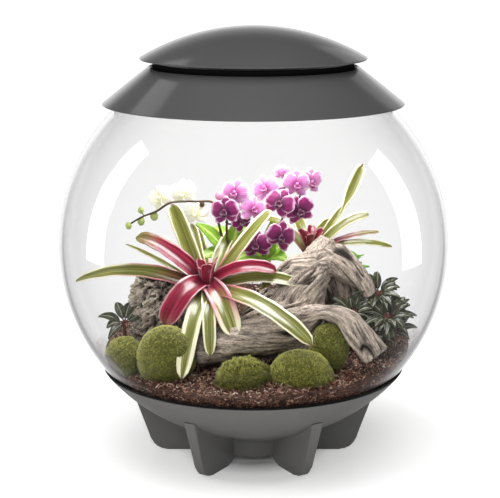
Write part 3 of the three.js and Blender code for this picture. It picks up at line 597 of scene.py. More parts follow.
# ---- Materials of the plants ----
def bromeliad_leaf(plants):
    """Bromeliad leaf, waxy: olive with fine lengthwise streaks, cream margins, crimson at the heart, and
    painted shade towards each root.
    """
    sockets = {
        "Roughness": 0.3, "IOR": 1.5, "Subsurface Weight": 0.15, "Subsurface Scale": 0.002,
        "Coat Weight": 0.5, "Coat Roughness": 0.16,
    }
    material, tree, shader = new_material("bromeliad_leaf", sockets)
    across, along, blush, pale = (
        add_node(tree, "Attribute", {"attribute_name": key}).outputs["Fac"]
        for key in ("across", "along", "blush", "pale")
    )
    # Streaks run the whole leaf: about 1.5 mm wide and ten times as long.
    spread = add_node(tree, "Math", {"operation": "MULTIPLY", 1: 5.0}, {0: across})
    place = add_node(tree, "CombineXYZ", {}, {"X": spread, "Y": along, "Z": blush})
    streak = add_node(tree, "TexNoise", {"Scale": 1.7, "Detail": 4}, {"Vector": place}).outputs["Fac"]
    edge = add_node(tree, "Math", {"operation": "ABSOLUTE"}, {0: across})
    wander = add_node(tree, "Math", {"operation": "MULTIPLY_ADD", 1: 0.24, 2: -0.12}, {0: streak})
    wide = add_node(tree, "Math", {"operation": "ADD"}, {0: edge, 1: wander})
    grown = add_node(tree, "Math", {"operation": "MULTIPLY_ADD", 1: 0.5, 2: 0.14}, {0: along})
    paler = add_node(tree, "Math", {"operation": "MULTIPLY_ADD"}, {0: pale, 1: grown, 2: wide})
    margin = add_node(tree, "MapRange", {"From Min": 0.82, "From Max": 0.95}, {"Value": paler})
    dark = [channel * 0.5 for channel in plants.olive[:3]] + [1]
    bright = list(linear("#c9c185"))
    middle = add_node(
        tree, "ValToRGB", {"stops": [(0.3, dark), (0.52, list(plants.olive)), (0.84, bright)]},
        {"Fac": streak},
    )
    ahead = add_node(tree, "Math", {"operation": "SUBTRACT"}, {0: along, 1: blush})
    pinks = add_node(tree, "MapRange", {"From Min": 0.0, "From Max": 0.4}, {"Value": ahead})
    rim = add_node(
        tree, "Mix", {**RGBA, UNDER: linear("#cf6a7c"), OVER: tuple(plants.cream)}, {SHARE: pinks}
    )
    green = add_node(tree, "Mix", RGBA, {SHARE: margin, UNDER: middle, OVER: rim.outputs[MIXED]})
    shifted = add_node(tree, "Math", {"operation": "ADD"}, {0: ahead, 1: wander})
    red = add_node(tree, "MapRange", {"From Min": 0.1, "From Max": -0.28}, {"Value": shifted})
    wine = [channel * 0.3 for channel in plants.crimson[:3]] + [1]
    rose = linear("#b83f5c")
    heart = add_node(
        tree, "ValToRGB", {"stops": [(0.34, wine), (0.56, list(plants.crimson)), (0.82, rose)]},
        {"Fac": streak},
    )
    # A red leaf keeps a thin pale pink margin.
    thin = add_node(tree, "MapRange", {"From Min": 0.86, "From Max": 1.0, "To Max": 0.8}, {"Value": paler})
    edged = add_node(tree, "Mix", {**RGBA, OVER: linear("#e2a9b2")}, {SHARE: thin, UNDER: heart})
    coloured = add_node(
        tree, "Mix", RGBA, {SHARE: red, UNDER: green.outputs[MIXED], OVER: edged.outputs[MIXED]}
    )
    # Painted shade: each leaf darkens towards its root, down in the rosette where the other leaves shade it.
    painted_root_shade = add_node(
        tree, "MapRange", {"From Min": 0.3, "From Max": 0.0, "To Max": 0.6}, {"Value": along}
    )
    root_shaded = add_node(
        tree, "Mix", {**RGBA, OVER: linear("#1d070b")}, {SHARE: painted_root_shade, UNDER: coloured.outputs[MIXED]}
    )
    dry = add_node(tree, "MapRange", {"From Min": 0.975, "From Max": 1.0, "To Max": 0.7}, {"Value": along})
    shade = add_node(
        tree, "Mix", {**RGBA, OVER: linear("#6b4a33")}, {SHARE: dry, UNDER: root_shaded.outputs[MIXED]}
    )
    tree.links.new(shade.outputs[MIXED], shader.inputs["Base Color"])
    bump = add_node(tree, "Bump", {"Strength": 0.5, "Distance": 0.35 * MM}, {"Height": streak})
    tree.links.new(bump.outputs["Normal"], shader.inputs["Normal"])
    return material


def petal(name, shade, vein, rim, throat, glow):
    """Orchid petal, velvety: darker and veined towards the middle, with a thin pale rim painted as if lit
    from behind, and a faint painted glow.
    """
    sockets = {
        "Roughness": 0.5, "IOR": 1.4, "Sheen Weight": 0.2, "Subsurface Weight": 0.1,
        "Subsurface Scale": 0.001, "Emission Strength": glow,
    }
    material, tree, shader = new_material(name, sockets)
    across, along, lip = (
        add_node(tree, "Attribute", {"attribute_name": key}).outputs["Fac"]
        for key in ("across", "along", "lip")
    )
    edge = add_node(tree, "Math", {"operation": "ABSOLUTE"}, {0: across})
    outer = add_node(tree, "Math", {"operation": "MAXIMUM"}, {0: edge, 1: along})
    border = add_node(tree, "MapRange", {"From Min": 0.8, "From Max": 0.96}, {"Value": outer})
    spread = add_node(tree, "Math", {"operation": "MULTIPLY", 1: 26.0}, {0: across})
    lines = add_node(tree, "Math", {"operation": "SINE"}, {0: spread})
    faint = add_node(tree, "MapRange", {"From Min": 0.3, "From Max": 1.0, "To Max": 0.55}, {"Value": lines})
    inward = add_node(
        tree, "MapRange", {"From Min": 0.85, "From Max": 0.2, "To Max": 0.85}, {"Value": outer}
    )
    veined = add_node(tree, "Math", {"operation": "MAXIMUM"}, {0: faint, 1: inward})
    base = add_node(tree, "Mix", {**RGBA, UNDER: tuple(shade), OVER: linear(vein)}, {SHARE: veined})
    rimmed = add_node(tree, "Mix", {**RGBA, OVER: linear(rim)}, {SHARE: border, UNDER: base.outputs[MIXED]})
    deep = add_node(tree, "MapRange", {"From Min": 0.42, "From Max": 0.02}, {"Value": along})
    inner = add_node(tree, "Mix", {**RGBA, OVER: linear(throat)}, {SHARE: deep, UNDER: rimmed.outputs[MIXED]})
    lipped = add_node(tree, "Mix", {**RGBA, OVER: linear(throat)}, {SHARE: lip, UNDER: inner.outputs[MIXED]})
    tree.links.new(lipped.outputs[MIXED], shader.inputs["Base Color"])
    # Painted glow: the petal's colours glow faintly, standing in for light through it from behind.
    tree.links.new(lipped.outputs[MIXED], shader.inputs["Emission Color"])
    bump = add_node(tree, "Bump", {"Strength": 0.5, "Distance": 0.12 * MM}, {"Height": lines})
    tree.links.new(bump.outputs["Normal"], shader.inputs["Normal"])
    return material


def leaf_surface(name, shade, rib, vein_count, vein_strength, roughness, glow=0.0):
    """A small leaf, grown: a pale middle rib, side veins from it, and mottled green between them."""
    sockets = {
        "Roughness": roughness, "Subsurface Weight": 0.08, "Subsurface Scale": 0.001,
        "Emission Strength": glow,
    }
    material, tree, shader = new_material(name, sockets)
    across, along, stalk = (
        add_node(tree, "Attribute", {"attribute_name": key}).outputs["Fac"]
        for key in ("across", "along", "stalk")
    )
    edge = add_node(tree, "Math", {"operation": "ABSOLUTE"}, {0: across})
    slant = add_node(tree, "Math", {"operation": "MULTIPLY_ADD", 1: -0.22}, {0: edge, 2: along})
    turns = add_node(tree, "Math", {"operation": "MULTIPLY", 1: vein_count * 2 * math.pi}, {0: slant})
    wave = add_node(tree, "Math", {"operation": "SINE"}, {0: turns})
    vein = add_node(
        tree, "MapRange", {"From Min": 0.72, "From Max": 1.0, "To Max": vein_strength}, {"Value": wave}
    )
    centre = add_node(tree, "MapRange", {"From Min": 0.2, "From Max": 0.08}, {"Value": edge})
    pale = add_node(tree, "Math", {"operation": "MAXIMUM"}, {0: vein, 1: centre})
    place = add_node(tree, "TexCoord").outputs["Object"]
    mottle = add_node(tree, "TexNoise", {"Scale": scale_for(5), "Detail": 3}, {"Vector": place})
    dark = [channel * 0.6 for channel in shade[:3]] + [1]
    green = add_node(tree, "ValToRGB", {"stops": [(0.3, dark), (0.7, list(shade))]}, {"Fac": mottle})
    shade_out = add_node(tree, "Mix", {**RGBA, OVER: linear(rib)}, {SHARE: pale, UNDER: green})
    stalked = add_node(
        tree, "Mix", {**RGBA, OVER: linear("#5b3029")}, {SHARE: stalk, UNDER: shade_out.outputs[MIXED]}
    )
    tree.links.new(stalked.outputs[MIXED], shader.inputs["Base Color"])
    # Painted glow: the leaf's colours glow faintly, as if lit through.
    tree.links.new(stalked.outputs[MIXED], shader.inputs["Emission Color"])
    bump = add_node(tree, "Bump", {"Strength": 0.6, "Distance": 0.3 * MM}, {"Height": pale})
    tree.links.new(bump.outputs["Normal"], shader.inputs["Normal"])
    return material


def woody_stem(name, shade, young):
    """A flower stem, grown: brown bark with greener stretches and faint rings."""
    material, tree, shader = new_material(name, {"Roughness": 0.55, "IOR": 1.45})
    lip, rosy = (
        add_node(tree, "Attribute", {"attribute_name": key}).outputs["Fac"] for key in ("lip", "rosy")
    )
    place = add_node(tree, "TexCoord").outputs["Object"]
    patches = add_node(tree, "TexNoise", {"Scale": scale_for(9), "Detail": 3}, {"Vector": place})
    stops = [(0.38, shade), (0.62, young)]
    ramp = add_node(tree, "ValToRGB", {"stops": stops}, {"Fac": patches})
    green = add_node(tree, "Mix", {**RGBA, OVER: linear("#a8b866")}, {SHARE: lip, UNDER: ramp})
    pink = add_node(
        tree, "Mix", {**RGBA, OVER: linear("#c784a6")}, {SHARE: rosy, UNDER: green.outputs[MIXED]}
    )
    tree.links.new(pink.outputs[MIXED], shader.inputs["Base Color"])
    rings = add_node(tree, "TexNoise", {"Scale": scale_for(1.2), "Detail": 3}, {"Vector": place})
    bump = add_node(tree, "Bump", {"Strength": 0.5, "Distance": 0.15 * MM}, {"Height": rings})
    tree.links.new(bump.outputs["Normal"], shader.inputs["Normal"])
    return material


# ---- The vessel ----
STAND_WALL = 2.0
HUB_RADIUS = 52.0
HUB_BOTTOM = 7.0
HUB_TOP = 28.1
HUB_BLEND = 12.0
FIN_OUTLINE = [  # distance from the axis, height, rounding
    (HUB_RADIUS - 12, HUB_BOTTOM + 5), (HUB_RADIUS, HUB_BOTTOM), (60, 0, 2), (109.4, 0, 14), (134, 68),
]
FIN_TOP = 68.0
FIN_COUNT = 6
FIN_HALF_FOOT = 5.25
FIN_HALF_TOP = 6.5
FIN_SOFTENING = 1.5  # radius of its long edges


def build_stand(vessel):
    """The stand: a shallow bowl with a hub under it, and six fins as feet."""
    outside = GLOBE_RADIUS + FIT + STAND_WALL
    outer = ball_arc(outside, HUB_TOP, STAND_RIM, 40)
    inner = ball_arc(GLOBE_RADIUS + FIT, GLOBE_CENTRE - GLOBE_RADIUS - FIT, STAND_RIM, 40)[::-1]
    beyond_blend = outer[5:-1]  # the blend from the hub takes the place of the ball's first points
    corners = [
        (0, HUB_BOTTOM), (HUB_RADIUS, HUB_BOTTOM, 1.5), (HUB_RADIUS, HUB_TOP, HUB_BLEND), *beyond_blend,
        (*outer[-1], 0.6), *inner,
    ]
    material = moulded_plastic("abs_satin_grey", vessel.stand_colour, 0.42, 1.4)
    bowl = lathe(rounded(corners), vessel.turns)
    made = piece("stand", bowl, material, ["base_stand"])
    fins = bpy.data.collections.new("fins")
    for index, azimuth in enumerate(circle(FIN_COUNT)):
        fins.objects.link(bpy.data.objects.new(f"fin_{index}", fin(azimuth)))
    union = made.modifiers.new("fins", "BOOLEAN")
    union.operation = "UNION"
    union.operand_type = "COLLECTION"
    union.collection = fins
    union.solver = "EXACT"
    graph = bpy.context.evaluated_depsgraph_get()
    made.data = bpy.data.meshes.new_from_object(made.evaluated_get(graph))
    made.modifiers.clear()
    for one in list(fins.objects):
        bpy.data.objects.remove(one)
    bpy.data.collections.remove(fins)
    made.data.shade_smooth()
    made.data.set_sharp_from_angle(angle=math.radians(35))


def fin(azimuth):
    """One fin, standing in the plane through the axis, thinner at the foot, with softened edges."""
    middle_of_wall = GLOBE_RADIUS + FIT + STAND_WALL / 2
    top = ball_arc(middle_of_wall, 28, FIN_TOP, 12)[::-1]
    outline = rounded(FIN_OUTLINE) + [np.array(point) for point in top]
    work = bmesh.new()
    sides = []
    for side in (-1, 1):
        ring = []
        for r, z in outline:
            share = min(max(z / FIN_TOP, 0), 1)
            half = side * (FIN_HALF_FOOT + (FIN_HALF_TOP - FIN_HALF_FOOT) * share)
            x = r * math.cos(azimuth) - half * math.sin(azimuth)
            y = r * math.sin(azimuth) + half * math.cos(azimuth)
            ring.append(work.verts.new(Vector((x, y, z)) * MM))
        sides.append(ring)
    faces = [work.faces.new(sides[0]), work.faces.new(sides[1][::-1])]
    count = len(outline)
    for k in range(count):
        after = (k + 1) % count
        work.faces.new([sides[0][k], sides[1][k], sides[1][after], sides[0][after]])
    rims = [edge for face in faces for edge in face.edges]
    bmesh.ops.bevel(work, geom=rims, offset=FIN_SOFTENING * MM, segments=3, affect="EDGES", profile=0.5)
    bmesh.ops.recalc_face_normals(work, faces=work.faces)
    mesh = bpy.data.meshes.new("fin")
    work.to_mesh(mesh)
    work.free()
    return mesh


SEAL_THICKNESS = 1.6


def build_seal(vessel):
    """The seal: a thin dark ring between the stand's rim and the globe."""
    low, high = SEAL_LOW[2], SEAL_HIGH[2]
    near = GLOBE_RADIUS + FIT
    far = near + SEAL_THICKNESS
    (near_low, _), (near_high, _) = ball_arc(near, low, high, 2)
    (far_low, _), (far_high, _) = ball_arc(far, low, high, 2)
    corners = [
        (near_low, low), (far_low, low, 0.5), (far_high, high, 0.7), (near_high, high, 0.3), (near_low, low),
    ]
    piece("seal", lathe(rounded(corners), vessel.turns), silicone(), ["seal_ring"])


def build_globe(vessel):
    """The globe: a ball of clear glass, open at the top, with a fire-rounded lip."""
    bottom = GLOBE_CENTRE - GLOBE_RADIUS
    outer = ball_arc(GLOBE_RADIUS, bottom, GLOBE_HIGH[2], 90)
    inner_radius = GLOBE_RADIUS - GLASS_WALL
    mouth = math.asin((GLOBE_HIGH[2] - GLOBE_CENTRE) / GLOBE_RADIUS)
    inner_top = GLOBE_CENTRE + inner_radius * math.sin(mouth)
    inner = ball_arc(inner_radius, bottom + GLASS_WALL, inner_top, 90)[::-1]
    outer[-1] = (*outer[-1], 1.2)
    inner[0] = (*inner[0], 1.2)
    mesh = lathe(rounded([*outer, *inner]), vessel.turns)
    piece("globe_glass", mesh, blown_glass(vessel.glass_tint), ["globe"])


COLLAR_CROWN = (112.0, 425.5)  # where the dome's outline ends, as radius and height
COLLAR_SHOULDER = (142.0, 402.0)  # the point that its curve bends towards
COLLAR_RIM_INSIDE = 157.0
COLLAR_HOLLOW = (145.0, 396.0)  # the top of the hollow under its rim, as radius and height
COLLAR_SEAT = (392.5, 402.3)  # between these heights it rests on the globe
NECK_OUTER = 106.5
GROOVE_FLOOR = 421.0  # the finger groove between the crown and the neck
NECK_INNER = 104.0
LIP_RADIUS = 118.0  # the lip that hangs in the globe's mouth
LIP_HEIGHTS = (392.0, 404.5)
LID_WALL = 3.0
LID_RIM = 1.7  # height of its upright rim


def keep_unlit(lamps, things):
    """Screens things from lamps, as a flag beside a studio lamp does."""
    flag = bpy.data.collections.new("screened")
    for thing in things:
        flag.objects.link(thing)
    for member in flag.collection_objects:
        member.light_linking.link_state = "EXCLUDE"
    for lamp in lamps:
        if lamp in bpy.data.objects:
            bpy.data.objects[lamp].light_linking.receiver_collection = flag


def collar_outline():
    """The collar: a dome, a finger groove and a neck on top, a lip in the globe's mouth, and a hollow rim."""
    t = np.linspace(0, 1, 24)[:, None]
    rim = np.array([COLLAR_HIGH[0], COLLAR_LOW[2]])
    dome = (1 - t) ** 2 * rim + 2 * t * (1 - t) * np.array(COLLAR_SHOULDER) + t ** 2 * np.array(COLLAR_CROWN)
    seat = ball_arc(GLOBE_RADIUS + FIT, *COLLAR_SEAT, 6)[::-1]
    rim_inside = (COLLAR_RIM_INSIDE, rim[1])
    top, (lip_low, lip_high) = COLLAR_HIGH[2], LIP_HEIGHTS
    return rounded([
        rim_inside, (*rim, 1.0), *dome[2:-1].tolist(), (*COLLAR_CROWN, 0.8),
        (NECK_OUTER + 1, GROOVE_FLOOR, 1), (NECK_OUTER, top, 1), (NECK_INNER, top, 1),
        (NECK_INNER, lip_low, 1), (LIP_RADIUS, lip_low, 1), (LIP_RADIUS, lip_high, 1),
        *seat, (*COLLAR_HOLLOW, 2), rim_inside,
    ])


def lid_outline():
    """The lid: a shallow cap cut from a ball, hollow below, with a thin upright rim."""
    radius, low, high = LID_HIGH[0], LID_LOW[2], LID_HIGH[2]
    rise = high - low - LID_RIM
    ball = (radius ** 2 + rise ** 2) / (2 * rise)
    radii = np.linspace(radius, 0, 40)
    top = [(r, high - ball + math.sqrt(ball ** 2 - r ** 2)) for r in radii]
    inner = radii[::-1] * 0.97
    under = [(r, high - ball + math.sqrt((ball - LID_WALL) ** 2 - r ** 2)) for r in inner]
    return rounded([*under, (radius - LID_WALL, low, 0.6), (radius, low, 0.6), *top])


def build_top(vessel):
    """The collar over the globe's mouth and the lid above it, with the lamp parts finished under them."""
    glossy = moulded_plastic("abs_gloss_grey", vessel.lid_colour, 0.14, 2.0)
    ring = painted_groove_shade(moulded_plastic("abs_gloss_grey_ring", vessel.lid_colour, 0.14, 2.0), "#141415")
    collar = piece("collar", lathe(collar_outline(), vessel.turns), ring, ["canopy_collar"])
    lid = piece("lid_cap", lathe(lid_outline(), vessel.turns), glossy, ["lid"])
    keep_unlit(["softbox_left", "softbox_right"], [collar, lid])
    matt = moulded_plastic("abs_matt_black", linear("#29292b"), 0.55, 1.4)
    for node, finish in (("light_housing", matt), ("light_diffuser", frosted_polycarbonate())):
        carried = frame["nodes"][node]
        carried.data.materials.clear()
        carried.data.materials.append(finish)


# ---- The ground ----
CHIP = np.array([[-1, 0, 0], [-0.2, 1, -0.4], [-0.3, -0.8, -0.5], [0.1, 0.1, 1], [1, 0.2, 0.1]])
CHIP_FACES = np.array([[0, 2, 1], [0, 1, 3], [0, 3, 2], [4, 1, 2], [4, 3, 1], [4, 2, 3]])
SPIKE = np.array([[1, 0, 0], [-0.5, 0.87, 0], [-0.5, -0.87, 0], [0, 0, 1]])
SPIKE_FACES = np.array([[0, 1, 3], [1, 2, 3], [2, 0, 3], [2, 1, 0]])


SOIL_SLIDE = 9.0  # how far the loose soil has slid down at the far left and right
SOIL_LUMPS = 3.0  # height of its crumbs
SOIL_TURNS = 144
GLASS_FOOT = 88.0  # height at which the glass leaves the stand, seen from the front


def soil_edge(angle):
    """Radius at which the soil's top meets the glass, for each angle round the axis."""
    radius = np.full_like(angle, SOIL_REACH)
    for _ in range(8):
        height = soil_top(radius * np.cos(angle), radius * np.sin(angle))
        radius = np.sqrt(ROOM ** 2 - (height - GLOBE_CENTRE) ** 2)
    return radius


def random_axes(random, count, flatten):
    """Three crossed directions for each of `count` pieces, lying flatter as `flatten` falls to 0."""
    first = unit(random.normal(size=(count, 3)) * [1, 1, flatten])
    second = unit(np.cross(first, random.normal(size=(count, 3))))
    return np.stack([first, second, np.cross(first, second)], 1)


def soil_top(x, y):
    """Height of the loose soil, which has slid down a little at the far left and right."""
    slid = SOIL_SLIDE * ease(np.abs(x), 100, 148) * ease(y, -95, -25)
    return ground_at(x, y) - slid


def soil_block(form):
    """The body of the soil: rings out over its top to the glass, and down along the glass to the foot."""
    angle = circle(SOIL_TURNS)
    edge = soil_edge(angle)
    rings = []
    for share in np.linspace(0, 1, 40):
        x, y = share * edge * np.cos(angle), share * edge * np.sin(angle)
        lump = SOIL_LUMPS * (noise(np.stack([x / 7, y / 7, 0 * x], -1), 5) - 0.75) * (share < 1)
        rings.append(np.stack([x, y, soil_top(x, y) + lump], -1))
    polar = np.arccos(np.clip((rings[-1][:, 2] - GLOBE_CENTRE) / ROOM, -1, 1))
    behind_chips = ROOM - 1.2
    for share in np.linspace(0, 1, 24)[1:]:
        down = polar + (math.pi - polar) * share
        height = GLOBE_CENTRE + behind_chips * np.cos(down)
        rings.append(polar_points(behind_chips * np.sin(down), angle, height))
    block = np.stack(rings)
    # The soil under the chips is dark: partly its own colour, partly painted shade in the gaps between the
    # chips.
    form.add(block, quads(len(rings), SOIL_TURNS, closed=True), tone=0.25 * noise(block / 2.5, 11))


def loose_chips(form, random, count, size):
    """Chips strewn over the soil's top. `size` is half the length of a usual one."""
    turn = random.uniform(0, 2 * math.pi, count)
    reach = np.sqrt(random.uniform(0, 1, count)) * (soil_edge(turn) - 1.5)
    x, y = reach * np.cos(turn), reach * np.sin(turn)
    places = np.stack([x, y, soil_top(x, y) + random.uniform(-1.2, 2.2, count)], -1)
    sizes = size * random.uniform(0.4, 1.2, (count, 1)) * np.array([1, 0.42, 0.3])
    tones = random.beta(1.2, 1.25, (count, 1))
    scatter(form, CHIP, CHIP_FACES, places, random_axes(random, count, 0.8), sizes, tone=tones)


def pressed_chips(form, random, count, size):
    """Chips pressed against the glass, from the seal up to the soil's top, with painted shade that darkens
    them low down.
    """
    turn = random.uniform(0, 2 * math.pi, count)
    edge = soil_edge(turn)
    top = soil_top(edge * np.cos(turn), edge * np.sin(turn))
    height = random.uniform(0, 1, count) * (top - GLASS_FOOT) + GLASS_FOOT
    places = polar_points(np.sqrt(ROOM ** 2 - (height - GLOBE_CENTRE) ** 2) - 0.8, turn, height)
    sizes = size * random.uniform(0.45, 1.1, (count, 1)) * np.array([1, 0.5, 0.4])
    # Painted shade: the chips darken towards the seal.
    tones = random.beta(1.5, 3, (count, 1)) * ease(height, 78, 104)[:, None]
    scatter(form, CHIP, CHIP_FACES, places, random_axes(random, count, 1), sizes, tone=tones)


def build_soil(ground):
    """The soil: a block that fills the globe's foot, covered with loose coir chips."""
    random = np.random.default_rng(SEED)
    form = Form()
    soil_block(form)
    size = ground.chip_length / MM / 2
    loose_chips(form, random, ground.soil_chips, size)
    pressed_chips(form, random, ground.soil_chips // 3, size)
    form.points = [inside_globe(part) for part in form.points]
    mesh = cleaned(form.mesh("soil"))
    mesh.shade_flat()  # so that each chip shows its facets
    piece("soil_coir", mesh, coir(), ["soil"])


WOOD_LIMBS = [  # each limb's places along its middle line, with its radius there
    [(-60, -92, 136, 13), (-25, -84, 146, 19), (10, -74, 154, 25), (45, -58, 162, 29)],
    [(42, -50, 118, 31), (45, -44, 172, 31), (62, -24, 208, 23), (80, -12, 241, 9)],
    [(24, -34, 200, 9), (42, -34, 208, 18), (72, -22, 214, 19)],
    [(70, -14, 224, 17), (94, -24, 216, 16), (112, -33, 201, 13), (124, -38, 184, 9)],
    [(88, -8, 212, 14), (100, -6, 190, 15), (108, -10, 164, 14), (112, -14, 138, 13)],
    [(44, -62, 160, 18), (70, -92, 180, 10), (92, -101, 178, 10), (109, -105, 160, 13), (124, -106, 140, 14)],
    [(68, -15, 196, 18), (84, 22, 166, 15), (92, 44, 134, 13)],
    [(24, -30, 180, 17), (2, -12, 158, 14), (-12, 2, 128, 13)],
]
STUMP = [[(-98, -14, 112, 30), (-101, -18, 150, 31), (-104, -20, 184, 27), (-103, -22, 203, 17)]]
LIMB_ACROSS = np.array([0.35, 0.9, 0.25])  # a direction that no limb runs along
GRAIN_STRETCH = 0.11  # patterns are this much shorter across the grain than along it
LINE_STEPS = 90


def limb_form(limbs):
    """Plain round tubes along the limbs, to be melted into one body."""
    form = Form()
    for limb in limbs:
        tube(form, [point[:3] for point in limb], [point[3] for point in limb], sides=24)
    return form


def melted(mesh, voxel):
    """One body from overlapping tubes, with its joints smoothed."""
    source = bpy.data.objects.new("melting", mesh)
    bpy.context.scene.collection.objects.link(source)
    remesh = source.modifiers.new("melt", "REMESH")
    remesh.mode = "VOXEL"
    remesh.voxel_size = voxel
    smooth = source.modifiers.new("smooth", "SMOOTH")
    smooth.iterations = 14
    smooth.factor = 0.6
    graph = bpy.context.evaluated_depsgraph_get()
    made = bpy.data.meshes.new_from_object(source.evaluated_get(graph))
    bpy.data.objects.remove(source)
    return made


def along_grain(points, limbs, twist):
    """For each limb: where points lie in its own space, stretched along it, and how near it they are."""
    places, nearness = [], []
    for limb in limbs:
        line = spline([point[:3] for point in limb], LINE_STEPS)
        radius = spread_out([point[3] for point in limb], LINE_STEPS)
        _, side, face = frames(line, LIMB_ACROSS)
        travelled = np.concatenate([[0], np.cumsum(np.linalg.norm(np.diff(line, axis=0), axis=1))])
        distance = np.linalg.norm(points[:, None] - line[None], axis=2) / radius
        nearest = distance.argmin(1)
        away = points - line[nearest]
        u = np.einsum("ij,ij->i", away, side[nearest])
        v = np.einsum("ij,ij->i", away, face[nearest])
        turn = travelled[nearest] * twist
        u, v = u * np.cos(turn) - v * np.sin(turn), u * np.sin(turn) + v * np.cos(turn)
        places.append(np.stack([u, v, travelled[nearest] * GRAIN_STRETCH], -1))
        nearness.append(np.exp(-6 * (distance.min(1) - 1)))
    return np.stack(places), np.stack(nearness)


def of_points(mesh, key):
    """The places or normals of a mesh's points."""
    flat = np.zeros(len(mesh.vertices) * 3)
    mesh.vertices.foreach_get(key, flat)
    return flat.reshape(-1, 3)


def carve(mesh, limbs, depth, spacing, twist, seed, crumble=0.0):
    """Cuts flutes, cracks and pits along the grain, and keeps the grain's space and a dark mark for the
    material: the wood's own cracks, partly painted shade in them, and painted shade in low places.

    `crumble` breaks the surface into lumps, some millimetres high.
    """
    points, normals = of_points(mesh, "co") / MM, of_points(mesh, "normal")
    count = len(points)
    places, nearness = along_grain(points, limbs, twist)
    weights = nearness / nearness.sum(0)
    cut, crack = np.zeros(count), np.zeros(count)
    for index, place in enumerate(places):
        seeds = seed + 10 * index
        swirl = np.stack([noise(place / 17 + k * 7.7, seeds + 4 + k) - 0.5 for k in range(3)], -1)
        bent = place + swirl * [15, 15, 6]
        flutes = ridges(bent / (spacing * 3), seeds + 1) ** 2
        splits = ridges(bent / (spacing * 1.5), seeds + 2) ** 8
        small = ridges(bent / (spacing * 0.6), seeds + 3) ** 3
        torn = ease(noise(points / 15, seeds + 5), 0.3, 0.7)
        hollow = ease(noise(bent * [1, 1, 0.8] / (spacing * 1.6), seeds + 8), 0.7, 0.9) * torn
        cut += weights[index] * (flutes * 0.4 + splits * (0.25 + 0.7 * torn) + small * 0.2 + hollow * 0.9)
        # The cracks and pits are marked dark: partly the wood's own darker cracks, partly painted shade in
        # them.
        crack += weights[index] * np.maximum(splits * (0.35 + 0.65 * torn), np.maximum(small * 0.3, hollow))
    # Painted shade: the low left end, close to the soil, is darkened.
    above_soil = points[:, 2] - ground_at(points[:, 0], points[:, 1])
    painted_left_shade = ease(-points[:, 0], 0, 42) * (1 - ease(above_soil, 10, 36))
    crack = np.maximum(crack, painted_left_shade * (0.55 + 0.4 * noise(points / 9, seed + 3)))
    lumps = noise(points / 24, seed + 7) - 0.5
    shift = depth * (1.3 * lumps - cut + 0.45)
    if crumble:
        chunks = ridges(points / 7, seed + 9) + 0.6 * ridges(points / 2.9, seed + 6) - 0.95
        shift += crumble * chunks
        # Painted shade: the low places between the lumps are marked dark.
        crack = np.maximum(crack, ease(-chunks, -0.1, 0.35))
    moved = inside_globe(points + normals * shift[:, None], 1.0)
    mesh.vertices.foreach_set("co", (moved * MM).astype(np.float32).ravel())
    best = places[nearness.argmax(0), np.arange(count)].astype(np.float32)
    mesh.attributes.new("grain", "FLOAT_VECTOR", "POINT").data.foreach_set("vector", best.ravel())
    mesh.attributes.new("crack", "FLOAT", "POINT").data.foreach_set("value", crack.astype(np.float32))
    mesh.shade_smooth()
    return mesh


def build_driftwood(ground):
    """The driftwood root: limbs melted into one body, carved along their grain."""
    mesh = melted(limb_form(WOOD_LIMBS).mesh("driftwood"), ground.wood_voxel)
    carve(mesh, WOOD_LIMBS, ground.crack_depth / MM, 5.0, 0.012, SEED)
    material = weathered_wood("driftwood_bleached", list(ground.wood_colour), "#241a14", 2.2)
    piece("driftwood", mesh, material, ["driftwood_root"])


def build_bark(ground):
    """The bark stump: a dark, fibrous block at the left."""
    mesh = melted(limb_form(STUMP).mesh("bark"), ground.wood_voxel)
    carve(mesh, STUMP, 4.0, 5.0, 0.05, SEED + 500, crumble=9.0)
    material = weathered_wood("bark_fibrous", list(linear("#dccbbb")), "#1b130f", 1.8, 0.92)
    piece("bark", mesh, material, ["bark_stump"])


MOSSES = [  # middle, radii, how rough, and how long its shoots are next to a usual one's
    {"middle": (-134, -84, 128), "radii": (20, 20, 24), "rough": 0.06, "shoots": 1.0},
    {"middle": (-89, -101, 136), "radii": (31, 25, 33), "rough": 0.02, "shoots": 0.8},
    {"middle": (-10, -126, 121), "radii": (27, 20, 20), "rough": 0.14, "shoots": 2.0},
    {"middle": (48, -122, 122), "radii": (33, 25, 27), "rough": 0.03, "shoots": 1.0},
    {"middle": (78, -97, 144), "radii": (20, 15, 27), "rough": 0.03, "shoots": 0.9},
]
MOSS_ROWS, MOSS_COLUMNS = 40, 72
LOOSE_MOSS = 0.1  # a cushion rougher than this is a loose one, with darker shoots


def cushion_points(cushion, directions):
    """Points on a cushion's surface in the given directions from its middle."""
    middle = np.array(cushion["middle"], float)
    lumps = noise(directions * 4 + middle / 10, 31) + 0.5 * noise(directions * 9 + middle / 10, 32) - 0.75
    swell = 0.98 + 2 * cushion["rough"] * lumps
    return middle + directions * np.array(cushion["radii"]) * swell[..., None]


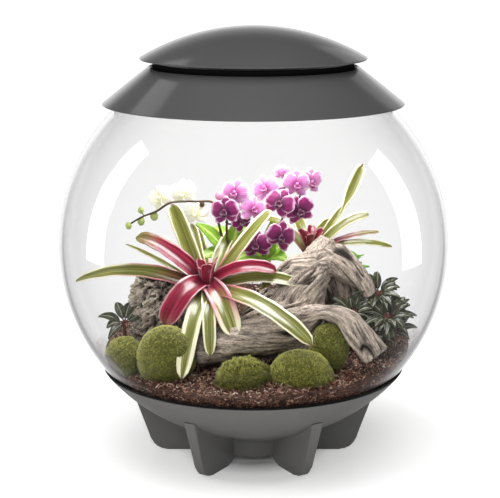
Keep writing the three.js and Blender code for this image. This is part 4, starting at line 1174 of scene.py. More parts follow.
def moss_shoots(form, cushion, ground, random):
    """Sets a cushion with shoots wherever it stands out of the soil, in clumps, with painted light: lighter
    where the shoots face up towards the light, darker where they face away.
    """
    radii = np.array(cushion["radii"], float)
    area = 4 * math.pi * (radii.prod() ** (2 / 3))
    ways = unit(random.normal(size=(int(area * ground.moss_density), 3)))
    places = cushion_points(cushion, ways)
    above = places[:, 2] > ground_at(places[:, 0], places[:, 1]) - 2
    ways, places = ways[above], places[above]
    count = len(places)
    outward = unit(unit(ways / radii) + random.normal(size=(count, 3)) * 0.32 + [0, 0, 0.18])
    side = unit(np.cross(outward, random.normal(size=(count, 3))))
    axes = np.stack([side, np.cross(outward, side), outward], 1)
    clumps = 0.45 + 1.1 * noise(places / 2.2, 77)
    shade = 0.55 if cushion["rough"] > LOOSE_MOSS else 1.3
    # Painted light: shoots facing up and a little to the front and left are lighter, those facing away
    # darker.
    lit = 0.3 + 0.7 * ease(ways @ [-0.3, -0.3, 0.9], -0.3, 0.9) * (0.5 + noise(places / 14, 78))
    reach = ground.moss_length / MM * cushion["shoots"] * clumps * random.uniform(0.6, 1.4, count)
    width = random.uniform(0.3, 0.55, count)
    tone = np.clip((0.9 * clumps + random.normal(0, 0.36, count)) * lit * shade, 0, 1)[:, None]
    start = inside_globe(places - outward * 0.6, 4.0)
    tip = np.broadcast_to(np.array([0.1, 0.1, 0.1, 1.0]), (count, 4))  # pale only at the spike's point
    scatter(form, SPIKE, SPIKE_FACES, start, axes, np.stack([width, width, reach], -1), tip=tip, tone=tone)


def build_moss(ground):
    """Five moss cushions, each a dark body set with upright shoots."""
    material = moss("moss_cushion_living", list(ground.moss_colour))
    random = np.random.default_rng(SEED + 1)
    for number, cushion in enumerate(MOSSES, 1):
        form = Form()
        body = inside_globe(cushion_points(cushion, all_round(MOSS_ROWS, MOSS_COLUMNS)), 2.0)
        form.add(body, quads(MOSS_ROWS, MOSS_COLUMNS, closed=True), tip=0.12, tone=0.5)
        moss_shoots(form, cushion, ground, random)
        form.points = [inside_globe(part, 0.5) for part in form.points]
        node = f"moss_cushion_{number}"
        piece(f"moss_{number}", cleaned(form.mesh(node)), material, [node])


# ---- Leaves ----
UPRIGHT = np.array([0, 0, 1.0])
FORWARD = np.array([0, -0.62, 0.78])  # the plants in front lean towards the viewer


def strap(t):
    """Outline of a long leaf: nearly even, with a blunt end."""
    return np.minimum(1, 0.72 + 0.8 * t) * np.sqrt(1 - 0.985 * t ** 13)


def tapered(t):
    """Outline of a long leaf that is drawn out to a thin end."""
    return np.minimum(1, 0.72 + 0.8 * t) * np.sqrt(1 - 0.985 * t ** 3.6)


def spoon(t):
    """Outline of a leaf that is rolled thin below and opens out towards its tip."""
    end = np.sqrt(np.maximum(0, 1 - ((t - 0.8) / 0.2) ** 4 * (t > 0.8)))
    return 0.14 + 0.86 * ease(t, 0.55, 0.8) * end - 0.12 * ease(t, 0.93, 1)


def oval(t):
    """Outline of a broad leaf, widest at its middle."""
    return 0.14 + 0.86 * np.sin(math.pi * np.minimum(0.97, t) ** 0.85)


def pointed(t):
    """Outline of a small leaf with a drawn-out tip."""
    return 0.1 + 0.9 * np.sin(math.pi * np.minimum(0.985, t) ** 0.8) ** 0.9 * (1 - 0.25 * t)


def leaf(
    form, root, tip, arch, half, outline=strap, lean=UPRIGHT, gutter=0.25, twist=0.0, wave=0.0,
    rows=26, columns=11, **values
):
    """One leaf blade that bows up by `arch` and faces the way its plant leans.

    It is twice `half` wide. Its edges lift by `gutter`, a share of its width, and wave by `wave`.
    It turns by `twist` degrees towards its tip.
    """
    root, tip = np.array(root, float), np.array(tip, float)
    t = np.linspace(0, 1, rows)[:, None]
    u = np.linspace(-1, 1, columns)
    control = (root + tip) / 2 + [0, 0, 2 * arch]
    line = (1 - t) ** 2 * root + 2 * t * (1 - t) * control + t ** 2 * tip
    tangent = unit((1 - t) * (control - root) + t * (tip - control))
    side = unit(np.cross(tangent, lean))
    face = np.cross(side, tangent)
    turn = np.radians(twist) * t
    side, face = side * np.cos(turn) + face * np.sin(turn), face * np.cos(turn) - side * np.sin(turn)
    width = half * outline(t)
    ripple = wave * np.sin(t * 31 + root[0] + 2 * np.sign(u)) * u ** 4
    lift = gutter * width * np.abs(u) ** 1.6 + ripple
    points = line[:, None] + side[:, None] * (u * width)[..., None] + face[:, None] * lift[..., None]
    form.add(inside_globe(points, 1.0), quads(rows, columns), across=u, along=t, **values)


def step_out(start, towards, distance):
    """A point `distance` out from the start, level with it, towards another point."""
    start, towards = np.array(start, float), np.array(towards, float)
    flat = unit((towards - start) * [1, 1, 0])
    return start + flat * distance


# ---- Bromeliads ----
FRONT_CROWN = (-50, -40, 192)
REAR_CROWN = (63, 45, 214)
CROWN_HEIGHT = 12
ROOT_DEPTH = 10  # how far the big plants stand in the soil
# A leaf's tip, the rise of its middle, its half width, how far the crimson runs up it, how wide its cream
# margin is, and the degrees that it turns by.
FRONT_LEAVES = [
    {
        "tip": (-190, -32, 199), "arch": 15, "half": 10, "blush": 0.3, "pale": 0.1, "twist": -12,
        "outline": tapered,
    },
    {"tip": (-88, -8, 278), "arch": 3, "half": 9, "blush": -0.3, "pale": 0.12, "twist": 14},
    {"tip": (-68, 12, 253), "arch": 2, "half": 6, "blush": -0.3, "pale": 0.1},
    {"tip": (19, -20, 274), "arch": 4, "half": 8, "blush": 0.2, "pale": 0.4, "twist": 16},
    {"tip": (48, -56, 202), "arch": 10, "half": 7, "blush": 0.0, "pale": 0.12, "twist": -14},
    {"tip": (58, -138, 159), "arch": 13, "half": 10.5, "blush": 0.2, "pale": 0.12, "twist": 10},
    {"tip": (-72, -134, 123), "arch": 16, "half": 9, "blush": -0.1, "pale": 0.75},
    {"tip": (-44, -116, 141), "arch": 14, "half": 7, "blush": -0.2, "pale": 0.25},
    {"tip": (-64, -92, 152), "arch": 7, "half": 6, "blush": 0.1, "pale": 0.2},
    {"tip": (-140, 12, 230), "arch": 4, "half": 3, "blush": -0.2, "pale": 0.1, "outline": tapered},
    {"tip": (-112, 62, 226), "arch": 9, "half": 7, "blush": 0.1, "pale": 0.2},
    {"tip": (-66, 82, 232), "arch": 10, "half": 7.5, "blush": 0.2, "pale": 0.2},
    {"tip": (-20, 52, 240), "arch": 9, "half": 7, "blush": 0.1, "pale": 0.2},
]
FRONT_HEART = [
    {"tip": (-125, -30, 246), "arch": 8, "half": 10.5, "blush": 0.92, "pale": -0.3, "twist": -14},
    {"tip": (24, -50, 214), "arch": 10, "half": 8, "blush": 1.3, "pale": 0.0},
    {"tip": (-91, -90, 166), "arch": 12, "half": 12.5, "blush": 1.15, "pale": 0.0},
    {"tip": (-20, -100, 157), "arch": 9, "half": 12, "blush": 0.5, "pale": 0.6},
]
REAR_LEAVES = [
    {"tip": (123, 60, 312), "arch": -10, "half": 7.5, "blush": -0.4, "pale": 0.35, "outline": spoon},
    {"tip": (109, 72, 268), "arch": 4, "half": 3, "blush": -0.3, "pale": 0.1},
    {"tip": (102, 56, 264), "arch": 2, "half": 5, "blush": -0.3, "pale": 0.15},
    {"tip": (128, 38, 258), "arch": 9, "half": 6, "blush": -0.3, "pale": 0.2},
    {"tip": (139, 30, 240), "arch": 6, "half": 3, "blush": 0.7, "pale": 0.1},
    {"tip": (153, 22, 225), "arch": 8, "half": 4, "blush": -0.4, "pale": 0.0},
    {"tip": (44, 108, 248), "arch": 9, "half": 7, "blush": 0.1, "pale": 0.2},
    {"tip": (94, 110, 236), "arch": 9, "half": 7, "blush": 0.1, "pale": 0.2},
    {"tip": (14, 84, 244), "arch": 9, "half": 6, "blush": 0.1, "pale": 0.2},
    {"tip": (79, 4, 221), "arch": 12, "half": 8, "blush": -0.2, "pale": 0.25},
]
REAR_HEART = [
    {"tip": (78, 38, 240), "arch": 3, "half": 5, "blush": 1.2, "pale": 0.0},
    {"tip": (50, 38, 239), "arch": 3, "half": 5, "blush": 1.2, "pale": 0.0},
    {"tip": (66, 60, 241), "arch": 3, "half": 5, "blush": 1.2, "pale": 0.0},
]


def heart_cup(form, seat, height, radius):
    """The rolled middle of a rosette: short leaves wrapped round each other into a cup."""
    rows, columns = 14, 13
    t = np.linspace(0, 1, rows)[:, None]
    u = np.linspace(-1, 1, columns)
    spread = 0.95 * np.sqrt(1 - 0.96 * t ** 4)
    for index in range(6):
        angle = index * 2.4 + u * spread
        wide = radius * (0.55 + 0.45 * t + 0.25 * t ** 3) * (1 - 0.06 * index) + 0.5 * u ** 2
        tall = height * (1 - 0.07 * index) * (t + 0.03 * np.sin(5 * angle))
        points = polar_points(wide, angle, tall) + np.array(seat)
        form.add(points, quads(rows, columns), across=u, along=t * 0.9, blush=1.4, pale=0.0)


def rosette(form, crown, leaves, reach, gutter=0.3):
    """The leaves of one rosette, each rooted `reach` out from the middle of its crown."""
    for one in leaves:
        settings = {"twist": 0, **one}
        tip = settings.pop("tip")
        leaf(form, step_out(crown, tip, reach), tip, gutter=gutter, lean=FORWARD, wave=0.45, **settings)


def build_bromeliads(plants):
    """Two bromeliads, each a rosette of strap leaves round a crimson heart."""
    material = bromeliad_leaf(plants)
    thickness = plants.leaf_thickness
    sets = [  # the plant, how its nodes' names begin, its crown and leaves, and its cup's height and radius
        ("front", "", FRONT_CROWN, FRONT_LEAVES, FRONT_HEART, 29, 9.3),
        ("rear", "rear_", REAR_CROWN, REAR_LEAVES, REAR_HEART, 20, 6.5),
    ]
    for name, start, crown, leaves, inner, tall, wide in sets:
        leaves_node, heart_node = f"{start}bromeliad_leaves", f"{start}bromeliad_heart"
        outer = Form()
        rosette(outer, crown, leaves, 5)
        foot = (crown[0], crown[1], ground_at(crown[0], crown[1]) - ROOT_DEPTH)
        plain = {"across": 0.0, "along": 0.3, "blush": -0.5, "pale": 0.0}
        tube(outer, [foot, crown], [6, 7], **plain)
        piece(f"bromeliad_{name}", outer.mesh(name), material, [leaves_node], thickness)
        heart = Form()
        seat = np.array(crown) + [0, 0, CROWN_HEIGHT - 4]
        rosette(heart, seat, inner, 3, gutter=0.38)
        heart_cup(heart, seat - [0, 0, 3], tall, wide)
        mesh = heart.mesh(f"heart_{name}")
        piece(f"heart_{name}", mesh, material, [heart_node], thickness)


# ---- Orchids ----
LEFT_ORCHID = (-27, 26, 214)
RIGHT_ORCHID = (14, 32, 208)
LEFT_ORCHID_LEAVES = [
    {"tip": (-63, 14, 252), "arch": 5, "half": 9},
    {"tip": (-16, 16, 258), "arch": -3, "half": 12},
    {"tip": (-45, 64, 238), "arch": 8, "half": 10},
    {"tip": (-2, 62, 236), "arch": 8, "half": 10},
    {"tip": (-60, 2, 214), "arch": 6, "half": 8},
]
RIGHT_ORCHID_LEAVES = [
    {"tip": (20, 14, 256), "arch": -3, "half": 9},
    {"tip": (38, 18, 226), "arch": 5, "half": 9},
    {"tip": (-10, 12, 224), "arch": 5, "half": 8},
    {"tip": (-24, 4, 211), "arch": 7, "half": 9},
    {"tip": (37, 6, 212), "arch": 5, "half": 9},
    {"tip": (26, 76, 226), "arch": 8, "half": 9},
]
STEM_LEFT = [(-27, 26, 220), (-29, 14, 236), (-29, 6, 256), (-26, 8, 276), (-20, 14, 284)]
STEM_LOW = [(11, 29, 214), (8, 16, 222), (6, 6, 228)]
STEM_RIGHT = [(15, 32, 214), (22, 18, 238), (33, 16, 262), (35, 17, 284), (32, 22, 302)]
STEM_FAR = [(34, 17, 262), (46, 17, 274), (56, 28, 292)]
STEM_WHITE = [
    (-31, 28, 220), (-40, 22, 258), (-44, 14, 276), (-62, 4, 279), (-88, -7, 280), (-104, -10, 271),
    (-120, -12, 265), (-134, -15, 257),
]
PINK_BUD = ((-37, 5, 285), 4.6, (-26, 8, 276))  # middle, radius and the stem point that it joins
DARK_BUD = (-56, 7.5, 275.4)
WHITE_BUDS = [
    ((-121, -10, 272), 3.2, (-118, -9.5, 266)),
    ((-107, -6, 265), 4.4, (-105, -5.4, 271)),
    ((-121, -10, 260), 4.0, (-119, -9.6, 265)),
    ((-134, -15, 256), 3.4, (-132, -14, 258)),
]
BLOOMS = [  # middle, the stem point that its stalk joins, turn from facing the front, size and kind
    ("purple", (28, 0, 278), (35, 17, 276), -12, 29), ("purple", (50, 3, 269), (46, 17, 274), 18, 29),
    ("purple", (30, -5, 242), (24, 17, 243), 8, 29), ("purple", (3, -4, 232), (6, 8, 228), -15, 29),
    ("purple", (-31, -5, 270), (-27, 7, 268), -20, 29), ("purple", (-13, 2, 257), (-29, 7, 254), 20, 20),
    ("mauve", (12, 10, 293), (34, 19, 292), -25, 27), ("mauve", (47, 14, 296), (34, 20, 296), 10, 27),
    ("mauve", (63, 24, 297), (55, 27, 291), 35, 27), ("mauve", (31, 16, 309), (32, 22, 302), 0, 16),
    ("mauve", (-20, 2, 289), (-20, 14, 284), -10, 27), ("mauve", (0, 2, 271), (-26, 8, 272), 12, 27),
    ("white", (-76, 1, 290), (-76, -2, 280), -8, 25), ("white", (-63, 7, 267), (-62, 4, 278), 6, 25),
    ("white", (-101, -4, 284), (-96, -8, 276), -20, 25),
]


def round_petal(t):
    """Outline of a wide, rounded petal."""
    return np.sqrt(np.maximum(0.02, 1 - (2 * t - 1.06) ** 2))


PETAL_ROOT = 0.8  # petals start this far from the bloom's middle


def bloom(form, middle, joins, turn, size, random):
    """One orchid bloom: three sepals, two wide petals before them, a lobed lip and a pale column."""
    middle, joins = np.array(middle, float), np.array(joins, float)
    angle = math.radians(turn + random.uniform(-12, 12))
    facing = unit(np.array([math.sin(angle), -math.cos(angle), random.uniform(-0.12, 0.34)]))
    roll = random.uniform(-26, 26)
    up = unit(UPRIGHT - facing[2] * facing)
    side = np.cross(up, facing)

    def one(degrees, reach, half, lift, outline, cup, curl, rows=13, columns=13, lip=0.0):
        around = math.radians(degrees + roll + random.uniform(-8, 8))
        reach *= random.uniform(0.92, 1.06)
        phase = random.uniform(0, 6)
        way = up * math.cos(around) + side * math.sin(around)
        across = np.cross(way, facing)
        t = np.linspace(0, 1, rows)[:, None]
        u = np.linspace(-1, 1, columns)
        width = half * outline(t) * (1 + 0.05 * np.sin(16 * t + phase))
        ruffle = 0.034 * size * np.sin(9 * u + 6 * t + phase) * t ** 2 * (0.35 + u ** 2)
        depth = lift + cup * (u ** 2) * width / half - curl * t ** 2 + ruffle
        points = (
            middle + way * (PETAL_ROOT + (reach - PETAL_ROOT) * t)[..., None]
            + across * (u * width)[..., None] + facing * depth[..., None]
        )
        form.add(points, quads(rows, columns), across=u, along=t, lip=lip)

    for degrees in (0, -132, 132):
        one(degrees, size * 0.59, size * 0.21, -1.2, oval, -1.4, 2.0)
    for degrees in (-72, 72):
        one(degrees, size * 0.58, size * 0.33, 0.3, round_petal, -2.0, 3.0)
    one(180, size * 0.24, size * 0.11, 2.0, round_petal, 1.6, -2.2, lip=0.85)
    for degrees in (140, 220):
        one(degrees, size * 0.16, size * 0.08, 2.2, round_petal, 1.2, -3.0, rows=7, columns=7, lip=0.7)
    plain = {"across": 0.0, "along": 0.5}
    bud(form, middle + facing * 2.2 + up * 0.8, np.array([1.5, 1.7, 1.9]), lip=0.2, **plain)
    hanging = (middle + joins) / 2 - [0, 0, 1.5]
    tube(form, [middle - facing * 1.0, hanging, joins], [0.8, 0.7, 0.8], 7, lip=0.3, **plain)


def orchid_leaves(plants):
    """The two orchids' broad leaves, each round its own crown."""
    green = leaf_surface("orchid_leaf", list(plants.orchid_green), "#c3d877", 5, 0.12, 0.3, 0.08)
    crowns = [
        ("orchid_leaves_left", LEFT_ORCHID, LEFT_ORCHID_LEAVES),
        ("orchid_leaves_right", RIGHT_ORCHID, RIGHT_ORCHID_LEAVES),
    ]
    for node, crown, leaves in crowns:
        form = Form()
        for one in leaves:
            root = step_out(crown, one["tip"], 1)
            leaf(form, root, **one, outline=oval, lean=FORWARD, gutter=0.22, wave=0.3, stalk=0.0)
        foot = (crown[0], crown[1], ground_at(crown[0], crown[1]) - ROOT_DEPTH)
        tube(form, [foot, crown], [4, 5], across=0.5, along=0.3, stalk=0.75)
        thickness = plants.leaf_thickness * 1.4
        piece(f"{node}_blades", form.mesh(node), green, [node], thickness)


def purple_stems(bark):
    """The stems of the purple and mauve blooms, knobbed at each joint, with a pink bud on the left one."""
    stems = {
        "orchid_stem_left": [STEM_LEFT],
        "orchid_stem_low": [STEM_LOW],
        "orchid_stem_right": [STEM_RIGHT, STEM_FAR],
    }
    plain = {"lip": 0.0, "rosy": 0.0}
    for node, lines in stems.items():
        form = Form()
        for line in lines:
            tube(form, line, [1.5, 1.3, 1.0], **plain)
            for place in line[1:-1]:
                bud(form, np.array(place, float), np.array([1.7, 1.7, 2.1]), **plain)
        if node == "orchid_stem_left":
            place, radius, joins = PINK_BUD
            bud(form, np.array(place, float), radius * np.array([1, 1, 1.1]), lip=0.0, rosy=1.0)
            tube(form, [joins, place], [0.8, 0.7], 7, lip=0.0, rosy=0.4)
        piece(f"{node}_bark", form.mesh(node), bark, [node])


def white_spray(bark):
    """The stem of the white blooms, which arches to the left, with one dark bud and green ones at its end."""
    form = Form()
    tube(form, STEM_WHITE, [1.5, 1.2, 0.9], lip=0.0)
    bud(form, np.array(DARK_BUD), np.array([3, 3, 3.6]), lip=0.0)
    for place, radius, joins in WHITE_BUDS:
        bud(form, np.array(place, float), radius * np.array([1, 1, 1.2]), lip=0.85)
        tube(form, [joins, place], [0.7, 0.6], 7, lip=0.5)
    piece("white_spray_bark", form.mesh("white_spray"), bark, ["white_spray_stem"])


def orchid_blooms(plants):
    """The blooms, each a piece of its own."""
    random = np.random.default_rng(SEED + 2)
    finishes = {
        "purple": petal("petal_purple", plants.purple, "#5c0a46", "#ecbfdc", "#330422", 0.04),
        "mauve": petal("petal_mauve", plants.mauve, "#a23d8c", "#f3dcee", "#8c1f66", 0.08),
        "white": petal("petal_white", plants.white, "#e9e7d8", "#f1efe6", "#dbd9a8", 0.16),
    }
    counts = dict.fromkeys(finishes, 0)
    for kind, middle, joins, turn, size in BLOOMS:
        counts[kind] += 1
        form = Form()
        bloom(form, middle, joins, turn, size, random)
        node, name = f"bloom_{kind}_{counts[kind]}", f"orchid_{kind}_{counts[kind]}"
        piece(name, form.mesh(name), finishes[kind], [node], plants.petal_thickness)


def build_orchids(plants):
    """Orchid leaves, stems, buds and blooms, with the white spray that arches to the left."""
    orchid_leaves(plants)
    bark = woody_stem("orchid_stem_bark", "#3b261c", "#5d4a2b")
    purple_stems(bark)
    white_spray(bark)
    orchid_blooms(plants)


# ---- Small-leaved plants ----
# A plant's node, its place on the soil, and its whorls: the middle of each, how many leaves it has, their
# reach, half width and rise, and for the sparse one the directions of its leaves in degrees.
PEPEROMIAS = [
    ("peperomia_right", (138, -42), [
        ((142, -55, 166), 30, 29, 4.8, 9), ((133, -34, 187), 22, 26, 4.6, 10),
        ((126, -64, 152), 16, 24, 4.4, 6), ((149, -52, 150), 14, 22, 4.2, 6),
    ]),
    ("peperomia_cave", (105, -52), [((105, -52, 170), 16, 24, 4.4, 7)]),
    ("peperomia_left", (-138, -44), [((-138, -44, 157), 7, 26, 5.6, 7, (204, 168, 78, 112, 42, 238, 12))]),
]
WHORL_SIDE = np.array([1.0, 0, 0])
WHORL_UP = np.array([0, 0.78, 0.62])  # a whorl's disc leans towards the viewer
GOLDEN_ANGLE = 2.399963  # from one leaf of a whorl to the next, in radians
VINE_ROOT = (110, 12)
VINE_TOP = (110, 4, 214)
VINE_LEAVES = [  # tip, and the height on the stem that it grows from
    ((112, -14, 215), 203), ((122, -12, 205), 192), ((95, 0, 229), 211), ((127, 6, 206), 198),
    ((103, 16, 222), 208), ((118, 20, 198), 187), ((118, -8, 222), 211), ((101, -10, 208), 198),
]


def whorl(form, middle, count, reach, half, rise, turns, stalk_values, random):
    """One whorl of pointed leaves, in the directions that `turns` gives, or spread evenly if it is empty."""
    for index in range(count):
        turn = math.radians(turns[index]) if turns else (index + 0.6 * random.uniform()) * GOLDEN_ANGLE
        span = reach * random.uniform(0.72, 1.15)
        lift = rise * random.uniform(-0.2, 1.3)
        way = math.cos(turn) * WHORL_SIDE + math.sin(turn) * WHORL_UP
        tip = middle + span * way + lift * FORWARD
        root = middle + 5 * way
        width = half * random.uniform(0.8, 1.15)
        leaf(
            form, root, tip, 3, width, outline=pointed, lean=FORWARD, gutter=0.3, rows=12, columns=7,
            stalk=0.0,
        )
        tube(form, [middle, root], [0.6, 0.5], 6, **stalk_values)


def build_peperomias(plants):
    """Dark peperomias: whorls of pointed, silver-veined leaves on reddish stalks."""
    random = np.random.default_rng(SEED + 3)
    material = leaf_surface("peperomia_leaf", list(linear("#434832")), "#969184", 3, 0.25, 0.24)
    stalk_values = {"across": 0.6, "along": 0.4, "stalk": 1.0}
    thickness = plants.leaf_thickness * 0.8
    for node, (x, y), whorls in PEPEROMIAS:
        form = Form()
        foot = ground_at(x, y)
        tube(form, [(x, y, foot - 8), (x, y, foot + 6)], [3, 2.6], **stalk_values)
        for middle, count, reach, half, rise, *turns in whorls:
            tube(form, [(x, y, foot + 3), middle], [1.8, 1.4], 8, **stalk_values)
            directions = turns[0] if turns else ()
            whorl(form, middle, count, reach, half, rise, directions, stalk_values, random)
        piece(f"{node}_leaves", form.mesh(node), material, [node], thickness)


def build_vine(plants):
    """A small bright-green plant that stands behind the driftwood at the right."""
    material = leaf_surface("vine_leaf", list(linear("#7fb845")), "#b9d985", 4, 0.2, 0.3, 0.1)
    form = Form()
    foot = (*VINE_ROOT, ground_at(*VINE_ROOT) - 8)
    tube(form, [foot, VINE_TOP], [2, 1.4], across=0.5, along=0.5, stalk=0.5)
    for tip, start in VINE_LEAVES:
        root = (VINE_TOP[0], VINE_TOP[1] + 1, start)
        leaf(form, root, tip, 2, 7.2, outline=oval, gutter=0.3, rows=12, columns=9, stalk=0.0)
    piece("vine_leaves", form.mesh("vine"), material, ["small_vine"], plants.leaf_thickness)


# ---- The studio ----
FOCAL_PIXELS = 1473.0  # focal length in pixels of a picture 500 wide
PICTURE_WIDTH = 500
SENSOR = 36.0
SHIFT = (-0.007, -0.012)  # the photographed globe stands a little off the picture's middle
REAR_AIM = (0, 0, 0.4)


def look_at(thing, place, target):
    """Stands a lamp or the camera at a place and aims it at another, in metres."""
    thing.location = place
    thing.rotation_euler = (Vector(target) - Vector(place)).to_track_quat("-Z", "Y").to_euler()


def softbox(name, place, target, wide, tall, radiance, seen):
    """A flat lamp, in metres. Reflections show it if it is `seen`."""
    light = bpy.data.lights.new(name, "AREA")
    light.shape = "RECTANGLE"
    light.size, light.size_y = wide, tall
    light.energy = radiance * math.pi * wide * tall
    lamp = bpy.data.objects.new(name, light)
    bpy.context.scene.collection.objects.link(lamp)
    look_at(lamp, place, target)
    lamp.visible_glossy = seen
    lamp.visible_transmission = False
    lamp.visible_camera = False
    return lamp


def studio_floor():
    """White acrylic sheet that glows, less near the stand, which paints a shadow round it: so pale that only
    soft shadows draw on it.
    """
    sockets = {"Roughness": 0.5, "Emission Color": (1, 1, 1, 1), "Specular IOR Level": 0.2}
    material, tree, shader = new_material("acrylic_white", sockets)
    place = add_node(tree, "TexCoord").outputs["Object"]
    away = add_node(tree, "VectorMath", {"operation": "LENGTH"}, {0: place})
    # Painted shadow: the glow fades near the stand and is gone close to it, darkening the floor round the
    # stand.
    near = add_node(
        tree, "MapRange", {"From Min": 0.05, "From Max": 0.085, "To Max": 0.36},
        {"Value": away.outputs["Value"]},
    )
    far = add_node(
        tree, "MapRange", {"From Min": 0.14, "From Max": 0.7, "To Max": 0.65},
        {"Value": away.outputs["Value"]},
    )
    glow = add_node(tree, "Math", {"operation": "ADD"}, {0: near, 1: far})
    tree.links.new(glow.outputs[0], shader.inputs["Emission Strength"])
    mottle = add_node(tree, "TexNoise", {"Scale": scale_for(400), "Detail": 1}, {"Vector": place})
    stops = [(0.3, "#f2f2f1"), (0.7, "#f7f7f6")]
    ramp = add_node(tree, "ValToRGB", {"stops": stops}, {"Fac": mottle})
    tree.links.new(ramp.outputs["Color"], shader.inputs["Base Color"])
    return material


def studio_room(scene):
    """The room, which only reflections and soft light see: dark in front of the globe and pale behind it."""
    world = bpy.data.worlds.new("studio")
    world.use_nodes = True
    tree = world.node_tree
    way = add_node(tree, "SeparateXYZ", {}, {0: add_node(tree, "TexCoord").outputs["Generated"]})
    share = add_node(tree, "MapRange", {"From Min": -1.0, "From Max": 1.0}, {"Value": way.outputs["Y"]})
    pale = (1.08, 1.08, 1.08, 1)
    stops = [(0.0, "#3a3a3a"), (0.5, "#5c5c5d"), (0.75, "#757576"), (0.92, "#b4b2b3"), (0.955, pale)]
    shade = add_node(tree, "ValToRGB", {"stops": stops}, {"Fac": share})
    # The ceiling is dark too: only a band at eye height, and the bright table below it, are pale.
    height = add_node(tree, "MapRange", {"From Min": -1.0, "From Max": 1.0}, {"Value": way.outputs["Z"]})
    levels = [(0.1, "#404040"), (0.24, "#ffffff"), (0.57, "#ffffff"), (0.66, "#b0b0b0"), (0.8, "#505050")]
    band = add_node(tree, "ValToRGB", {"stops": levels}, {"Fac": height})
    # Through the glass the room looks as pale on every side as the studio's paper is.
    papers = [(0.0, pale), (0.64, pale), (0.76, "#b4b2b3"), (0.92, "#b4b2b3"), (0.955, pale)]
    paper = add_node(tree, "ValToRGB", {"stops": papers}, {"Fac": share})
    path = add_node(tree, "LightPath")
    straight = add_node(tree, "Math", {"operation": "LESS_THAN", 1: 0.5}, {0: path.outputs["Glossy Depth"]})
    through = add_node(
        tree, "Math", {"operation": "MULTIPLY"}, {0: path.outputs["Is Transmission Ray"], 1: straight}
    ).outputs[0]
    colour_seen = add_node(tree, "Mix", RGBA, {SHARE: through, UNDER: shade, OVER: paper})
    strength = add_node(tree, "Math", {"operation": "MAXIMUM"}, {0: band, 1: through})
    tree.links.new(colour_seen.outputs[MIXED], tree.nodes["Background"].inputs["Color"])
    tree.links.new(strength.outputs[0], tree.nodes["Background"].inputs["Strength"])
    scene.world = world


def build_stage(stage):
    """A white floor, softboxes beside, above and behind the globe, the glow of its lamp, and the camera."""
    scene = bpy.context.scene
    scene.view_settings.view_transform = "Standard"
    scene.cycles.caustics_reflective = False
    scene.cycles.caustics_refractive = False
    work = bmesh.new()
    bmesh.ops.create_grid(work, x_segments=8, y_segments=8, size=40)
    mesh = bpy.data.meshes.new("floor")
    work.to_mesh(mesh)
    work.free()
    mesh.materials.append(studio_floor())
    floor = bpy.data.objects.new("floor", mesh)
    floor.visible_glossy = False
    floor.visible_transmission = False
    scene.collection.objects.link(floor)
    middle = (0, 0, GLOBE_CENTRE * MM)
    softbox("softbox_left", (-1.2, 0.1, 0.68), (0, 0.1, 0.68), 0.34, 1.25, stage.softbox, True)
    softbox("softbox_right", (1.2, 0.11, 0.56), (0, 0.11, 0.56), 0.38, 1.08, stage.softbox * 0.8, True)
    softbox("softbox_above", (-0.1, -0.55, 2.0), middle, 2.2, 1.8, 2.6, False)
    softbox("softbox_front", (-0.5, -1.9, 0.9), middle, 1.2, 0.9, 3.4, False)
    softbox("lamp_glow", (0, 0, 0.396), (0, 0.0001, 0.2), 0.16, 0.16, 13.0, True)
    rear_left = softbox("softbox_rear_left", (-1.0, 1.06, 1.72), REAR_AIM, 0.75, 0.5, 0.8, True)
    rear_right = softbox("softbox_rear_right", (0.8, 1.6, 1.25), REAR_AIM, 0.6, 0.6, 0.35, True)
    for lamp in (rear_left, rear_right):
        lamp.visible_diffuse = False  # only their reflections in the glass and the lid count
    studio_room(scene)
    camera = bpy.data.objects.new("camera", bpy.data.cameras.new("camera"))
    scene.collection.objects.link(camera)
    back = Vector((0, -math.cos(stage.elevation), math.sin(stage.elevation)))
    look_at(camera, Vector(middle) + back * stage.distance, middle)
    camera.data.sensor_width = SENSOR
    camera.data.lens = FOCAL_PIXELS * SENSOR / PICTURE_WIDTH
    camera.data.shift_x, camera.data.shift_y = SHIFT
    scene.camera = camera


# ---- Operators, panel and run ----
class TERRARIUM_OT_stage(bpy.types.Operator):
    """Make the floor, the softboxes and the camera"""
    bl_idname = "terrarium.stage"
    bl_label = "Studio"

    def execute(self, context):
        build_stage(context.scene.terrarium_stage)
        return {"FINISHED"}


class TERRARIUM_OT_stand(bpy.types.Operator):
    """Make the finned stand and the seal on its rim"""
    bl_idname = "terrarium.stand"
    bl_label = "Stand and seal"

    def execute(self, context):
        build_stand(context.scene.terrarium_vessel)
        build_seal(context.scene.terrarium_vessel)
        return {"FINISHED"}


class TERRARIUM_OT_globe(bpy.types.Operator):
    """Make the glass globe"""
    bl_idname = "terrarium.globe"
    bl_label = "Globe"

    def execute(self, context):
        build_globe(context.scene.terrarium_vessel)
        return {"FINISHED"}


class TERRARIUM_OT_top(bpy.types.Operator):
    """Make the collar and the lid, and finish the lamp parts"""
    bl_idname = "terrarium.top"
    bl_label = "Collar and lid"

    def execute(self, context):
        build_top(context.scene.terrarium_vessel)
        return {"FINISHED"}


class TERRARIUM_OT_soil(bpy.types.Operator):
    """Fill the globe's foot with coir soil"""
    bl_idname = "terrarium.soil"
    bl_label = "Soil"

    def execute(self, context):
        build_soil(context.scene.terrarium_ground)
        return {"FINISHED"}


class TERRARIUM_OT_wood(bpy.types.Operator):
    """Make the driftwood root and the bark stump"""
    bl_idname = "terrarium.wood"
    bl_label = "Driftwood and bark"

    def execute(self, context):
        build_driftwood(context.scene.terrarium_ground)
        build_bark(context.scene.terrarium_ground)
        return {"FINISHED"}


class TERRARIUM_OT_moss(bpy.types.Operator):
    """Make the moss cushions"""
    bl_idname = "terrarium.moss"
    bl_label = "Moss"

    def execute(self, context):
        build_moss(context.scene.terrarium_ground)
        return {"FINISHED"}


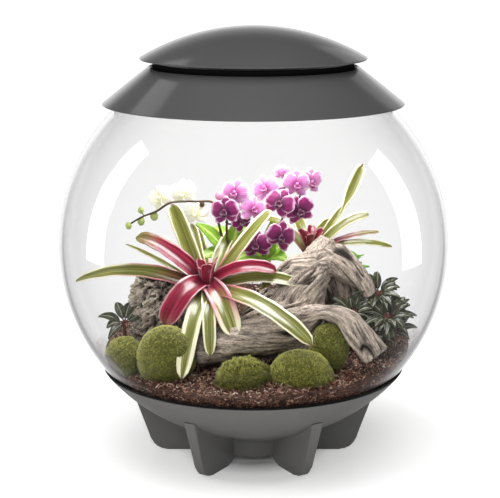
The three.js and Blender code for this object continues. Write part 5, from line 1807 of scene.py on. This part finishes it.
class TERRARIUM_OT_bromeliads(bpy.types.Operator):
    """Plant the two bromeliads"""
    bl_idname = "terrarium.bromeliads"
    bl_label = "Bromeliads"

    def execute(self, context):
        build_bromeliads(context.scene.terrarium_plants)
        return {"FINISHED"}


class TERRARIUM_OT_orchids(bpy.types.Operator):
    """Plant the orchids and the white spray"""
    bl_idname = "terrarium.orchids"
    bl_label = "Orchids"

    def execute(self, context):
        build_orchids(context.scene.terrarium_plants)
        return {"FINISHED"}


class TERRARIUM_OT_small_plants(bpy.types.Operator):
    """Plant the peperomias and the small bright-green plant"""
    bl_idname = "terrarium.small_plants"
    bl_label = "Small plants"

    def execute(self, context):
        build_peperomias(context.scene.terrarium_plants)
        build_vine(context.scene.terrarium_plants)
        return {"FINISHED"}


OPERATORS = (
    TERRARIUM_OT_stage, TERRARIUM_OT_stand, TERRARIUM_OT_globe, TERRARIUM_OT_top, TERRARIUM_OT_soil,
    TERRARIUM_OT_wood, TERRARIUM_OT_moss, TERRARIUM_OT_bromeliads, TERRARIUM_OT_orchids,
    TERRARIUM_OT_small_plants,
)


class TERRARIUM_PT_sidebar(bpy.types.Panel):
    """Lists the settings and the builders"""
    bl_label = "Globe Terrarium"
    bl_space_type = "VIEW_3D"
    bl_region_type = "UI"
    bl_category = "Terrarium"

    def draw(self, context):
        for settings in SETTINGS:
            box = self.layout.box()
            group = getattr(context.scene, settings)
            for name in group.__annotations__:
                box.prop(group, name)
        for operator in OPERATORS:
            self.layout.operator(operator.bl_idname)


SETTINGS = {
    "terrarium_vessel": VesselSettings,
    "terrarium_ground": GroundSettings,
    "terrarium_plants": PlantSettings,
    "terrarium_stage": StageSettings,
}


def register():
    for made in (*SETTINGS.values(), *OPERATORS, TERRARIUM_PT_sidebar):
        bpy.utils.register_class(made)
    for name, group in SETTINGS.items():
        setattr(bpy.types.Scene, name, bpy.props.PointerProperty(type=group))


def unregister():
    for name in SETTINGS:
        delattr(bpy.types.Scene, name)
    for made in (TERRARIUM_PT_sidebar, *reversed(OPERATORS), *SETTINGS.values()):
        bpy.utils.unregister_class(made)


def main():
    register()
    for operator in OPERATORS:
        getattr(bpy.ops.terrarium, operator.bl_idname.split(".")[1])()


if __name__ == "__main__":
    main()
